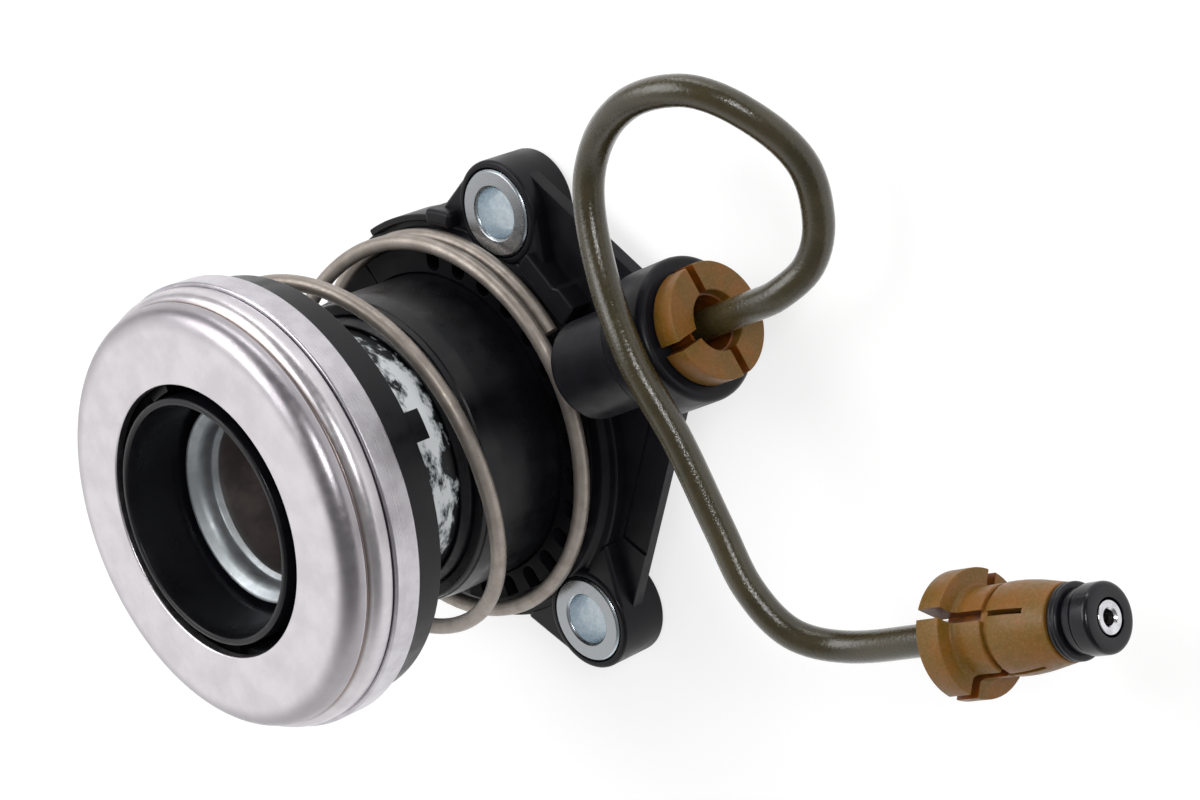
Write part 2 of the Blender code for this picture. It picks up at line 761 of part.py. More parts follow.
# Height of the wire's centre from the turns behind it: a flat end coil, an open pitch, a flat end
def spring_height(turns):
    start, end = SPRING_ACTIVE
    stations = (
        (0.0, SPRING_FOOT_Z),
        (0.14, SPRING_FOOT_Z),
        (1.0, SPRING_FOOT_Z + SPRING_END_RISE),
        (start, SPRING_FOOT_Z + SPRING_END_RISE + 1.0),
        (end, SPRING_HEAD_Z - 0.8),
        (end + 0.1, SPRING_HEAD_Z),
        (SPRING_TURNS + 1, SPRING_HEAD_Z),
    )
    for (t0, z0), (t1, z1) in zip(stations, stations[1:]):
        if turns <= t1:
            return z0 + (z1 - z0) * (turns - t0) / (t1 - t0)
    return SPRING_HEAD_Z


def preload_spring():
    count = round(SPRING_TURNS * SPRING_POINTS_A_TURN)
    points = []
    for i in range(count + 1):
        turns = SPRING_TURNS * i / count
        x, y = polar(SPRING_R, SPRING_TIP_ANGLE + 360 * turns)
        near = [spring_height(max(0.0, turns + shift)) for shift in (-0.04, 0.0, 0.04)]
        points.append((x, y, sum(near) / len(near)))
    return sweep("preload_spring", points, WIRE_R, "spring_steel")


# Pieces that slide with the piston


def piston():
    spigot_r = PISTON_BORE_R + PISTON_SPIGOT_WALL
    core_in = PISTON_BORE_R + PISTON_WALL
    core_out = PISTON_R - PISTON_WALL
    return turned("piston", [
        (PISTON_BORE_R, PISTON_REAR_Z),
        (PISTON_R - EDGE, PISTON_REAR_Z),
        (PISTON_R, PISTON_REAR_Z + EDGE),
        (PISTON_R, PISTON_FRONT_Z),
        (core_out, PISTON_FRONT_Z),
        (core_out, PISTON_CORE_Z),
        (core_in, PISTON_CORE_Z),
        (core_in, PISTON_FRONT_Z),
        (spigot_r, PISTON_FRONT_Z),
        (spigot_r, PISTON_TOP_Z),
        (PISTON_BORE_R, PISTON_TOP_Z),
    ], "piston_plastic", COARSE)


def piston_seal():
    outer = CHAMBER_R - 0.25
    inner = PISTON_BORE_R
    middle_z = SEAL_LOW_Z + LIP_SEAL_H / 2
    return turned("piston_seal", [
        (inner, SEAL_LOW_Z),
        (inner + LIP_T, SEAL_LOW_Z),
        (inner + LIP_T + LIP_SLOPE, middle_z),
        (outer - LIP_T - LIP_SLOPE, middle_z),
        (outer - LIP_T, SEAL_LOW_Z),
        (outer, SEAL_LOW_Z),
        (outer, middle_z),
        (outer - 0.5, SEAL_TOP_Z),
        (inner + 0.2, SEAL_TOP_Z),
    ], "rubber", COARSE)


def bearing_carrier():
    collar_in = PISTON_R + SEAT_GAP
    collar_out = collar_in + CARRIER_COLLAR
    pilot_top = CARRIER_TOP_Z + CARRIER_PILOT_H
    hook_r = PILOT_R + HOOK_DEPTH
    hook_z = FINGER_TOP_Z - HOOK_H
    skirt_in = CARRIER_R - CARRIER_SKIRT
    body = turned("bearing_carrier", [
        (CARRIER_BORE_R, CARRIER_WEB_LOW_Z),
        (collar_in, CARRIER_WEB_LOW_Z),
        (collar_in, CARRIER_COLLAR_LOW_Z),
        (collar_out, CARRIER_COLLAR_LOW_Z),
        (collar_out, CARRIER_WEB_LOW_Z),
        (skirt_in, CARRIER_WEB_LOW_Z),
        (skirt_in, CARRIER_LOW_Z),
        (CARRIER_R, CARRIER_LOW_Z),
        (CARRIER_R, CARRIER_TOP_Z),
        (PILOT_R, CARRIER_TOP_Z),
        (PILOT_R, hook_z),
        (hook_r, hook_z),
        (hook_r - EDGE, FINGER_TOP_Z),
        (PILOT_IN_R, FINGER_TOP_Z),
        (PILOT_IN_R, CARRIER_TOP_Z),
        (CARRIER_BORE_R, CARRIER_TOP_Z),
    ], "black_plastic")
    tab = prism(
        "carrier_tab", [sector(skirt_in + TAB_TUCK, CARRIER_R - TAB_TUCK, *TAB_ANGLES, 2)],
        TAB_LOW_Z, CARRIER_LOW_Z + PAST,
    )
    pitch = 360 / FINGERS
    free = []
    for i in range(FINGERS):
        start = FINGER_FIRST_DEG + FINGER_HALF_DEG + pitch * i
        free.append(sector(BORE_SLEEVE_R, hook_r + PAST, start, start + pitch - 2 * FINGER_HALF_DEG, 8))
    between = prism("between_fingers", free, pilot_top, FINGER_TOP_Z + PAST)
    return cut(join(body, tab), between)


def bore_sleeve():
    low = CARRIER_TOP_Z + SEAT_GAP
    foot_r = BORE_SLEEVE_R + EDGE
    return turned("bore_sleeve", [
        (BORE_SLEEVE_THROAT_R, low),
        (foot_r, low),
        (foot_r, low + BORE_SLEEVE_FOOT_H),
        (BORE_SLEEVE_R, low + BORE_SLEEVE_FOOT_H),
        (BORE_SLEEVE_R, BORE_SLEEVE_TOP_Z),
        (BORE_SLEEVE_MOUTH_R, BORE_SLEEVE_TOP_Z),
        (BORE_SLEEVE_MOUTH_R - 0.3, BORE_SLEEVE_TOP_Z - 1.5),
        (BORE_SLEEVE_THROAT_R, BORE_SLEEVE_THROAT_Z),
    ], "black_plastic")


# Release bearing


def ball_track(shoulder_r, facing_deg, steps=4):
    reach = abs(BALL_PITCH_R - shoulder_r)
    half = math.degrees(math.acos(reach / TRACK_R))
    return arc((BALL_PITCH_R, BALL_Z), TRACK_R, facing_deg - half, facing_deg + half, steps)


def bearing_inner_race():
    track = ball_track(INNER_SHOULDER_R, 180)
    return turned("bearing_inner_race", [
        (RACE_BORE_R, RACE_LOW_Z),
        (RACE_BORE_R, RACE_TOP_Z),
        (INNER_SHOULDER_R, RACE_TOP_Z),
        *track,
        (INNER_SHOULDER_R, RACE_LOW_Z),
    ], "bearing_steel", COARSE)


def bearing_outer_race():
    track = ball_track(OUTER_SHOULDER_R, 0)
    top = FACE_GROOVE_Z - FACE_SKIRT
    return turned("bearing_outer_race", [
        (OUTER_SHOULDER_R, RACE_LOW_Z),
        *track,
        (OUTER_SHOULDER_R, top),
        (RACE_SPIGOT_R, top),
        (RACE_SPIGOT_R, RACE_LAND_TOP_Z),
        (RACE_R, RACE_LAND_TOP_Z),
        (RACE_R, RACE_LOW_Z + EDGE),
        (RACE_R - EDGE, RACE_LOW_Z),
    ], "bearing_steel")


def bearing_face_ring():
    corner = (FACE_RIM_R - FACE_CORNER_R, FACE_Z - FACE_CORNER_R)
    skirt_in = RACE_SPIGOT_R + SEAT_GAP
    low = RACE_LAND_TOP_Z + SEAT_GAP
    return turned("bearing_face_ring", [
        (FACE_BORE_R, FACE_Z),
        *arc(corner, FACE_CORNER_R, 90, 0, 4),
        (FACE_RIM_R - 0.6, FACE_GROOVE_Z),
        (BEAD_R - 0.5, FACE_GROOVE_Z - 0.7),
        (BEAD_R, FACE_GROOVE_Z - 1.8),
        (BEAD_R, low + 0.6),
        (BEAD_R - EDGE, low),
        (skirt_in, low),
        (skirt_in, FACE_GROOVE_Z - 0.9),
        (FACE_RIM_R - 1.7, FACE_GROOVE_Z - 0.1),
        *arc(corner, FACE_CORNER_R - FACE_SHEET, 0, 90, 2),
        (FACE_BORE_R, FACE_Z - FACE_SHEET),
    ], "bearing_steel")


def bearing_rear_seal():
    low = RACE_LOW_Z + 0.1
    inner = INNER_SHOULDER_R + SEAT_GAP
    outer = OUTER_SHOULDER_R - SEAT_GAP
    return turned("bearing_rear_seal", [
        (inner, low), (outer, low), (outer, low + REAR_SEAL_T), (inner, low + REAR_SEAL_T),
    ], "rubber", COARSE)


def ball_cage():
    half = CAGE_WALL / 2
    ring = turned("ball_cage", [
        (BALL_PITCH_R - half, CAGE_LOW_Z),
        (BALL_PITCH_R + half, CAGE_LOW_Z),
        (BALL_PITCH_R + half, CAGE_TOP_Z),
        (BALL_PITCH_R - half, CAGE_TOP_Z),
    ], "cage_plastic", 3 * BALL_COUNT)
    bm = bmesh.new()
    facets = 8
    pocket_r = (BALL_R + POCKET_GAP) / math.cos(math.pi / facets)
    for i in range(BALL_COUNT):
        spoke = Matrix.Rotation(2 * math.pi * i / BALL_COUNT, 4, "Z")
        lay = Matrix.Translation((BALL_PITCH_R * MM, 0, BALL_Z * MM)) @ Matrix.Rotation(math.pi / 2, 4, "Y")
        bmesh.ops.create_cone(
            bm, cap_ends=True, segments=facets, radius1=pocket_r * MM, radius2=pocket_r * MM,
            depth=3 * CAGE_WALL * MM, matrix=spoke @ lay,
        )
    return cut(ring, mesh_object("cage_pockets", bm))


def balls():
    carrier = bpy.data.objects.new("ball_ring", None)
    HELPERS.objects.link(carrier)
    bm = bmesh.new()
    bmesh.ops.create_icosphere(bm, subdivisions=2, radius=BALL_R * MM)
    mesh = bpy.data.meshes.new("ball")
    bm.to_mesh(mesh)
    bm.free()
    mesh.shade_smooth()
    mesh.materials.append(FINISHES["bearing_steel"])
    for i in range(BALL_COUNT):
        ball = bpy.data.objects.new(f"ball_{i + 1:02d}", mesh)
        PARTS.objects.link(ball)
        ball.parent = carrier
        ball.location = (*Vector(polar(BALL_PITCH_R, 360 * i / BALL_COUNT)) * MM, BALL_Z * MM)


# Quick fitting: a slotted amber collet, a seal and a black nose, on an empty at the head's outer face


def fitting_collet(name, slot_turn):
    inner_step_s = CONE_S - STEP_DEPTH
    socket_s = CONE_S - SOCKET_DEPTH
    body = turned(name, [
        (MOUTH_R, 0),
        (HEAD_R - EDGE, 0),
        (HEAD_R, EDGE),
        (HEAD_R, NECK_S),
        (NECK_R, NECK_S),
        (NECK_R, GROOVE_S),
        (GROOVE_R, GROOVE_S),
        (GROOVE_R, BODY_S),
        (BODY_R - EDGE, BODY_S),
        (BODY_R, BODY_S + EDGE),
        (BODY_R, CONE_S),
        (CONE_R, CONE_END_S),
        (NOSE_STEM_R + SEAT_GAP, CONE_END_S),
        (NOSE_STEM_R + SEAT_GAP, socket_s),
        (PIPE_HOLE_R, socket_s),
        (PIPE_HOLE_R, inner_step_s),
        (MOUTH_R, inner_step_s),
    ], "amber_plastic", SMALL)
    slots = []
    reach = HEAD_R + PAST
    for i in range(2):
        for label, width, low, high in (
            ("head", HEAD_SLOT_W, -PAST, GROOVE_S - EDGE),
            ("body", BODY_SLOT_W, BODY_S + 2 * EDGE, inner_step_s - EDGE),
        ):
            half = width / 2
            slot = prism(
                f"{name}_{label}_slot_{i}",
                [[(-reach, -half), (reach, -half), (reach, half), (-reach, half)]],
                low, high,
            )
            slot.rotation_euler = Euler((0, 0, math.radians(slot_turn + 90 * i)))
            slots.append(slot)
    cut(body, *slots)
    return [body, *slots]


def fitting_nose(name):
    return turned(name, [
        (PIPE_HOLE_R, CONE_S - SOCKET_DEPTH + SEAT_GAP),
        (NOSE_STEM_R, CONE_S - SOCKET_DEPTH + SEAT_GAP),
        (NOSE_STEM_R, NOSE_S),
        (NOSE_WAIST_R, NOSE_S),
        (NOSE_WAIST_R, NOSE_S + NOSE_WAIST),
        (NOSE_R, NOSE_S + NOSE_WAIST + EDGE),
        *arc((NOSE_R - NOSE_ROUND, NOSE_END_S - NOSE_ROUND), NOSE_ROUND, 0, 90, 2),
        (PIPE_HOLE_R, NOSE_END_S),
    ], "black_plastic", SMALL)


def fitting_seal(name):
    low = CONE_END_S + SEAT_GAP
    inner = NOSE_STEM_R + SEAT_GAP
    return turned(name, [
        (inner, low),
        (NOSE_SEAL_R - EDGE, low),
        (NOSE_SEAL_R, low + NOSE_SEAL_W / 2),
        (NOSE_SEAL_R - EDGE, low + NOSE_SEAL_W),
        (inner, low + NOSE_SEAL_W),
    ], "rubber", SMALL)


# The tip in the nose of the far fitting, which the pipe ends short of
def fitting_insert(name):
    low = NOSE_END_S - INSERT_LENGTH
    return turned(name, [
        (INSERT_HOLE_R, low),
        (PIPE_R, low),
        (PIPE_R, NOSE_END_S - EDGE / 2),
        (PIPE_R - EDGE / 2, NOSE_END_S),
        (INSERT_HOLE_R + EDGE, NOSE_END_S),
        (INSERT_HOLE_R, NOSE_END_S - EDGE),
    ], "zinc_steel", SMALL)


def fitting(prefix, place, slot_turn, *extras):
    base = bpy.data.objects.new(prefix + "_fitting", None)
    HELPERS.objects.link(base)
    base.matrix_world = place
    pieces = fitting_collet(prefix + "_collet", slot_turn)
    pieces += [fitting_nose(prefix + "_nose"), fitting_seal(prefix + "_seal"), *extras]
    for piece in pieces:
        piece.parent = base


def far_direction():
    turn, rise = math.radians(FAR_TURN_DEG), math.radians(FAR_RISE_DEG)
    return Vector((math.cos(turn) * math.cos(rise), math.sin(turn) * math.cos(rise), math.sin(rise)))


def far_point(station):
    return Vector(FAR_START) + far_direction() * station


def hydraulic_pipe():
    near_end = NOSE_END_S - SEAT_GAP
    far_end = NOSE_END_S - INSERT_LENGTH - SEAT_GAP
    near = [(x, 0, PORT_Z) for x in (HEAD_FACE_X - near_end, HEAD_FACE_X, HEAD_FACE_X + NEAR_LEAD)]
    far = [tuple(far_point(s)) for s in (0, FAR_LEAD, FAR_LEAD + far_end)]
    route = smooth_route([*near, *PIPE_ROUTE, *far], PIPE_STEP)
    pipe = sweep("hydraulic_pipe", route, PIPE_R, "line_coating", capped=False)
    wall = pipe.modifiers.new("wall", "SOLIDIFY")
    wall.thickness = PIPE_WALL * MM
    wall.offset = -1.0
    return pipe


housing()
outer_sleeve()
wiper_ring()
guide_tube()
round_seal("guide_tube_seal", TUBE_SEAL_R, TUBE_SEAL_Z)
round_seal("gearbox_seal", GEARBOX_SEAL_R, SEAL_ROOM)
mounting_bushes()
preload_spring()

piston()
piston_seal()
bearing_carrier()
bore_sleeve()

bearing_inner_race()
bearing_rear_seal()
bearing_outer_race()
bearing_face_ring()
ball_cage()
balls()

fitting("port", along((-1, 0, 0), (HEAD_FACE_X, 0, PORT_Z)), PORT_SLOT_TURN_DEG)
far_place = along(far_direction(), far_point(FAR_LEAD))
fitting("pipe_end", far_place, FAR_SLOT_TURN_DEG, fitting_insert("pipe_end_insert"))
hydraulic_pipe()
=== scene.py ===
import math

import bmesh
import bpy
from mathutils import Matrix, Vector
from mathutils.geometry import convex_hull_2d, interpolate_bezier


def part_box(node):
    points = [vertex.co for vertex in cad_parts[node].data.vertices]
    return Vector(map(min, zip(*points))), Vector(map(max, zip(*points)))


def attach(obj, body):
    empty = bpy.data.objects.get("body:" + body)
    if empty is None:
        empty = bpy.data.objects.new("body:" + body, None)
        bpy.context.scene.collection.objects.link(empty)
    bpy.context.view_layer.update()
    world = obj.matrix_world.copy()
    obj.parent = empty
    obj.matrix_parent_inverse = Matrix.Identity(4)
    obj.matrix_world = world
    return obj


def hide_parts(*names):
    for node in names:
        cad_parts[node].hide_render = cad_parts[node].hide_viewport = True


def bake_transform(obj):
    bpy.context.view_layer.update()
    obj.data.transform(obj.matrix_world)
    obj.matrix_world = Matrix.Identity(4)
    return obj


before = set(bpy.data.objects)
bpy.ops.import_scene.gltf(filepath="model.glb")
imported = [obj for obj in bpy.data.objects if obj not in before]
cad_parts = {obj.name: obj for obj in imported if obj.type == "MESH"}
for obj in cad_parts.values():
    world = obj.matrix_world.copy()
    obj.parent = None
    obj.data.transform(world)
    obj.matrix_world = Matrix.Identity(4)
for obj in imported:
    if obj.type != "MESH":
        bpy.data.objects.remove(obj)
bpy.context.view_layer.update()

# Slave cylinder of a hydraulic clutch with its release bearing, dressed for a white studio.
# Sizes are in millimetres, +Z runs from the mounting face to the bearing, +X out of the port.

mm = 0.001
fullTurn = 2 * math.pi
hubSteps = 192  # steps round the housing's hub
smallSteps = 96  # steps round bosses, sleeves and fittings


# Mesh helpers


def addObject(name, data):
    made = bpy.data.objects.new(name, data)
    bpy.context.scene.collection.objects.link(made)
    return made


def move(bm, matrix):
    bmesh.ops.transform(bm, matrix=matrix, verts=bm.verts)


def turnZ(angleDeg):
    return Matrix.Rotation(math.radians(angleDeg), 4, "Z")


# The first object's final shape as a bmesh. All of the objects are cleared away
def takeShape(piece, *tools):
    bpy.context.view_layer.update()
    final = piece.evaluated_get(bpy.context.evaluated_depsgraph_get())
    mesh = bpy.data.meshes.new_from_object(final)
    for spare in (piece, *tools):
        bpy.data.objects.remove(spare)
    bm = bmesh.new()
    bm.from_mesh(mesh)
    bpy.data.meshes.remove(mesh)
    return bm


def smoothPiece(name, bm, materials, sharpDeg=38):
    mesh = bpy.data.meshes.new(name)
    bm.to_mesh(mesh)
    bm.free()
    mesh.shade_smooth()
    mesh.set_sharp_from_angle(angle=math.radians(sharpDeg))
    for mat in materials:
        mesh.materials.append(mat)
    return addObject(name, mesh)


# Keeps the wide flat faces flat between their rounded edges
def flatFaces(piece):
    step = piece.modifiers.new("flatFaces", "WEIGHTED_NORMAL")
    step.keep_sharp = True


def dress(piece, body, slot, *nodes):
    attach(piece, body)
    if nodes:
        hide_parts(*nodes)


def arcPoints(centre, radius, startDeg, endDeg, steps):
    angles = [math.radians(startDeg + (endDeg - startDeg) * i / steps) for i in range(steps + 1)]
    return [(centre[0] + radius * math.cos(a), centre[1] + radius * math.sin(a)) for a in angles]


# A closed profile of (radius, height, rounding) turned round Z. A rounding over 1.5 mm gets more steps
def turnedMesh(profile, segments=144, sweep=fullTurn):
    bm = bmesh.new()
    ring = [bm.verts.new((point[0] * mm, 0, point[1] * mm)) for point in profile]
    for a, b in zip(ring, ring[1:] + ring[:1]):
        bm.edges.new((a, b))
    for vert, point in zip(ring, profile):
        if len(point) > 2:
            bmesh.ops.bevel(
                bm, geom=[vert], offset=point[2] * mm, affect="VERTICES", profile=0.5, material=-1,
                segments=10 if point[2] > 1.5 else 4,
            )
    if sweep < fullTurn:
        bmesh.ops.contextual_create(bm, geom=bm.edges[:])
    whole = sweep >= fullTurn
    bmesh.ops.spin(
        bm, geom=bm.verts[:] + bm.edges[:] + bm.faces[:], cent=(0, 0, 0), axis=(0, 0, 1),
        angle=sweep, steps=segments, use_merge=whole,
    )
    bmesh.ops.remove_doubles(bm, verts=bm.verts, dist=1e-7)
    bmesh.ops.recalc_face_normals(bm, faces=bm.faces)
    return bm


def turnedPiece(name, profile, finish, place=None, segments=144):
    bm = turnedMesh(profile, segments)
    if place:
        move(bm, place)
    piece = smoothPiece(name, bm, [finishes[finish]])
    flatFaces(piece)
    return piece


# A round wire or pipe through the given points, as a mesh with closed ends
def sweptPiece(name, points, radius, finish, sides):
    curve = bpy.data.curves.new(name, "CURVE")
    curve.dimensions = "3D"
    spline = curve.splines.new("POLY")
    spline.points.add(len(points) - 1)
    for target, point in zip(spline.points, points):
        target.co = (*(Vector(point) * mm), 1)
    curve.bevel_depth = radius * mm
    curve.bevel_resolution = sides
    curve.use_fill_caps = True
    bm = takeShape(addObject(name + "Guide", curve))
    bmesh.ops.remove_doubles(bm, verts=bm.verts, dist=1e-6)
    bmesh.ops.recalc_face_normals(bm, faces=bm.faces)
    return smoothPiece(name, bm, [finishes[finish]])


# Points of a smooth curve through the given ones, about one step apart
def smoothRoute(points, step):
    points = [Vector(p) for p in points]
    tangents = []
    for i in range(len(points)):
        before = points[max(i - 1, 0)]
        after = points[min(i + 1, len(points) - 1)]
        tangents.append((after - before).normalized())
    route = [points[0]]
    for i in range(len(points) - 1):
        a, b = points[i], points[i + 1]
        reach = (b - a).length / 3
        count = max(2, round((b - a).length / step) + 1)
        route += interpolate_bezier(a, a + tangents[i] * reach, b - tangents[i + 1] * reach, b, count)[1:]
    return route


def along(direction, origin):
    turn = Vector(direction).to_track_quat("Z", "Y").to_matrix().to_4x4()
    return Matrix.Translation(Vector(origin) * mm) @ turn


# Material helpers

finishes = {}


def hexColour(text):
    parts = [int(text[i:i + 2], 16) / 255 for i in (1, 3, 5)]
    linear = [p / 12.92 if p <= 0.04045 else ((p + 0.055) / 1.055) ** 2.4 for p in parts]
    return (*linear, 1)


def perGrain(sizeMm):
    return 1000 / sizeMm  # texture scale at which a grain is this many millimetres


def addNode(tree, kind, feeds=None, **settings):
    node = tree.nodes.new(kind)
    for name, value in settings.items():
        setattr(node, name, value)
    for socket, value in (feeds or {}).items():
        if isinstance(value, bpy.types.NodeSocket):
            tree.links.new(value, node.inputs[socket])
        else:
            node.inputs[socket].default_value = value
    return node


# Makes a material under its short key and gives what a pattern needs: its nodes, its shader and its place
def newMaterial(key, name, **sockets):
    mat = bpy.data.materials.new(name)
    mat.use_nodes = True
    finishes[key] = mat
    tree = mat.node_tree
    shader = tree.nodes["Principled BSDF"]
    for socket, value in sockets.items():
        shader.inputs[socket.replace("_", " ")].default_value = value
    spot = addNode(tree, "ShaderNodeTexCoord").outputs["Object"]
    return tree, shader, spot


def grain(tree, spot, sizeMm, detail=3.0, roughness=0.55):
    feeds = {"Vector": spot, "Scale": perGrain(sizeMm), "Detail": detail, "Roughness": roughness}
    return addNode(tree, "ShaderNodeTexNoise", feeds).outputs["Fac"]


def between(tree, value, low, high, toLow=0.0, toHigh=1.0):
    feeds = {"Value": value, "From Min": low, "From Max": high, "To Min": toLow, "To Max": toHigh}
    return addNode(tree, "ShaderNodeMapRange", feeds, interpolation_type="SMOOTHSTEP").outputs["Result"]


def blendColour(tree, amount, first, second):
    feeds = {0: amount, 6: first, 7: second}  # a Mix node's own numbers for its colour sockets
    return addNode(tree, "ShaderNodeMix", feeds, data_type="RGBA").outputs[2]


def calculate(tree, operation, first, second):
    return addNode(tree, "ShaderNodeMath", {0: first, 1: second}, operation=operation).outputs[0]


# Lays a colour over the material's own, where a value from 0 to 1 says
def layOver(tree, shader, where, colour):
    under = shader.inputs["Base Color"].links[0].from_socket
    over = hexColour(colour) if isinstance(colour, str) else colour
    tree.links.new(blendColour(tree, where, under, over), shader.inputs["Base Color"])


# Adds a bump over those that the material has
def addBump(tree, shader, height, strength, depthMm):
    feeds = {"Height": height, "Strength": strength, "Distance": depthMm * mm}
    under = shader.inputs["Normal"].links
    if under:
        feeds["Normal"] = under[0].from_socket
    tree.links.new(addNode(tree, "ShaderNodeBump", feeds).outputs["Normal"], shader.inputs["Normal"])


def heightOf(tree, spot):
    return addNode(tree, "ShaderNodeSeparateXYZ", {"Vector": spot}).outputs["Z"]


# Distance from the object's own Z axis
def fromAxis(tree, spot):
    feeds = {0: spot, 1: (1, 1, 0)}
    flat = addNode(tree, "ShaderNodeVectorMath", feeds, operation="MULTIPLY").outputs["Vector"]
    return addNode(tree, "ShaderNodeVectorMath", {0: flat}, operation="LENGTH").outputs["Value"]


# Fine lines left by a turning or grinding tool, which run round Z and change only with the height
def turningLines(tree, spot, spacingMm):
    feeds = {"W": heightOf(tree, spot), "Scale": perGrain(spacingMm), "Detail": 4.0}
    return addNode(tree, "ShaderNodeTexNoise", feeds, noise_dimensions="1D").outputs["Fac"]


# A surface mottled in two colours. A noise is (grain in mm, detail, roughness), of which only the grain
# must be given. mottle is (noise, low, high), a fleck is (noise, low, high, amount, colour), sheen is
# (noise, smoothest, dullest) and a bump is (noise, strength, depth in mm)
def surface(key, name, pale, shade, mottle, sheen=None, flecks=(), bumps=(), **sockets):
    tree, shader, spot = newMaterial(key, name, **sockets)
    noise, low, high = mottle
    cloud = between(tree, grain(tree, spot, *noise), low, high)
    colour = blendColour(tree, cloud, hexColour(pale), hexColour(shade))
    tree.links.new(colour, shader.inputs["Base Color"])
    for noise, low, high, amount, colour in flecks:
        layOver(tree, shader, between(tree, grain(tree, spot, *noise), low, high, 0.0, amount), colour)
    if sheen:
        noise, smoothest, dullest = sheen
        rough = between(tree, grain(tree, spot, *noise), 0.3, 0.7, smoothest, dullest)
        tree.links.new(rough, shader.inputs["Roughness"])
    for noise, strength, depthMm in bumps:
        addBump(tree, shader, grain(tree, spot, *noise), strength, depthMm)
    return tree, shader, spot


# Materials


# Deep-drawn bearing steel, tumbled with stones: pale and even, with faint brown stains and small dents,
# darker round its corner, mostly above the groove, as a painted dark reflection, and brown in its groove
def tumbledBearingSteel():
    look = dict(
        stain="#96796A", cornerShade="#8E898E", groove="#6E5A50", grooveZ=60.15, grooveHalf=0.45,
        aboveGroove=1.0, cornerShadeFrom=30.2, cornerShadeTo=33.0,
    )
    stains = ((9.0, 6.0), 0.62, 0.76, 0.14, look["stain"])
    specks = ((0.40, 2.0), 0.70, 0.76, 0.35, look["stain"])
    tree, shader, spot = surface(
        "face", "tumbledBearingSteel", "#DFDBDE", "#D3CED2", ((5.0, 5.0), 0.30, 0.70),
        ((1.2,), 0.29, 0.37), flecks=[stains, specks], bumps=[((0.28,), 0.42, 0.025)], Metallic=1.0,
    )
    height = heightOf(tree, spot)
    grooveZ = look["grooveZ"] * mm
    # Painted dark reflection: the colour darkens towards the outer corner, most of all above the groove
    corner = between(tree, fromAxis(tree, spot), look["cornerShadeFrom"] * mm, look["cornerShadeTo"] * mm, 0.0, 0.75)
    above = between(tree, height, grooveZ, grooveZ + look["aboveGroove"] * mm, 0.25, 1.0)
    layOver(tree, shader, calculate(tree, "MULTIPLY", corner, above), look["cornerShade"])
    away = calculate(tree, "ABSOLUTE", calculate(tree, "SUBTRACT", height, grooveZ), 0.0)
    layOver(tree, shader, between(tree, away, 0.0, look["grooveHalf"] * mm, 0.8, 0.0), look["groove"])
    addBump(tree, shader, turningLines(tree, spot, 0.5), 0.14, 0.02)


# Hardened bearing steel, ground: bright, with fine lines round the axis
def groundBearingSteel():
    tree, shader, spot = surface(
        "ground", "groundBearingSteel", "#C9C6CB", "#BDB9BF", ((3.0,), 0.35, 0.65), Metallic=1.0,
    )
    lines = turningLines(tree, spot, 0.22)
    tree.links.new(between(tree, lines, 0.3, 0.7, 0.24, 0.36), shader.inputs["Roughness"])
    addBump(tree, shader, lines, 0.22, 0.02)


# Drawn steel tube, zinc plated and passivated: dull mid grey, browner and darker below its flare
def platedTubeSteel():
    look = dict(lowerTone="#A39996", lowerToneShade="#8B8283", lowerToneZ=48.5, platedZ=51.0)
    mottle = ((4.0,), 0.35, 0.65)
    tree, shader, spot = surface(
        "tube", "platedTubeSteel", "#C6CCD0", "#B4BABD", mottle, ((0.8,), 0.46, 0.58),
        bumps=[((0.3,), 0.15, 0.03)], Metallic=1.0,
    )
    noise, low, high = mottle
    cloud = between(tree, grain(tree, spot, *noise), low, high)
    # Below its flare the tube is browner and darker
    lowerTone = blendColour(tree, cloud, hexColour(look["lowerTone"]), hexColour(look["lowerToneShade"]))
    below = between(tree, heightOf(tree, spot), look["lowerToneZ"] * mm, look["platedZ"] * mm, 1.0, 0.0)
    layOver(tree, shader, below, lowerTone)


# Cut and deburred steel sleeve, bright zinc plated: cold bluish white, greyer on its top end
def brightZincSteel():
    look = dict(endGrey="#A2A5A8", sleeveZ=9.30, endZ=9.48)
    tree, shader, spot = surface(
        "zinc", "brightZincSteel", "#CFD8DE", "#BCC8D0", ((1.2, 5.0), 0.30, 0.70), ((0.7,), 0.24, 0.30),
        bumps=[((0.35,), 0.08, 0.03)], Metallic=1.0,
    )
    # The top end is greyer than the rest
    end = between(tree, heightOf(tree, spot), look["sleeveZ"] * mm, look["endZ"] * mm)
    layOver(tree, shader, end, look["endGrey"])


# Glass-filled nylon, injection moulded: deep satin black with flow clouds and a few pale scuffs
def mouldedNylon(key, name, base, cloudy, rough, specular, scuff=0.35):
    surface(
        key, name, base, cloudy, ((14.0, 4.0), 0.35, 0.70), ((3.5,), rough - 0.06, rough + 0.08),
        flecks=[((0.35, 2.0), 0.75, 0.80, scuff, "#9A9AA0")],
        bumps=[((0.30,), 0.16, 0.03), ((6.0,), 0.10, 0.20)], Specular_IOR_Level=specular,
    )


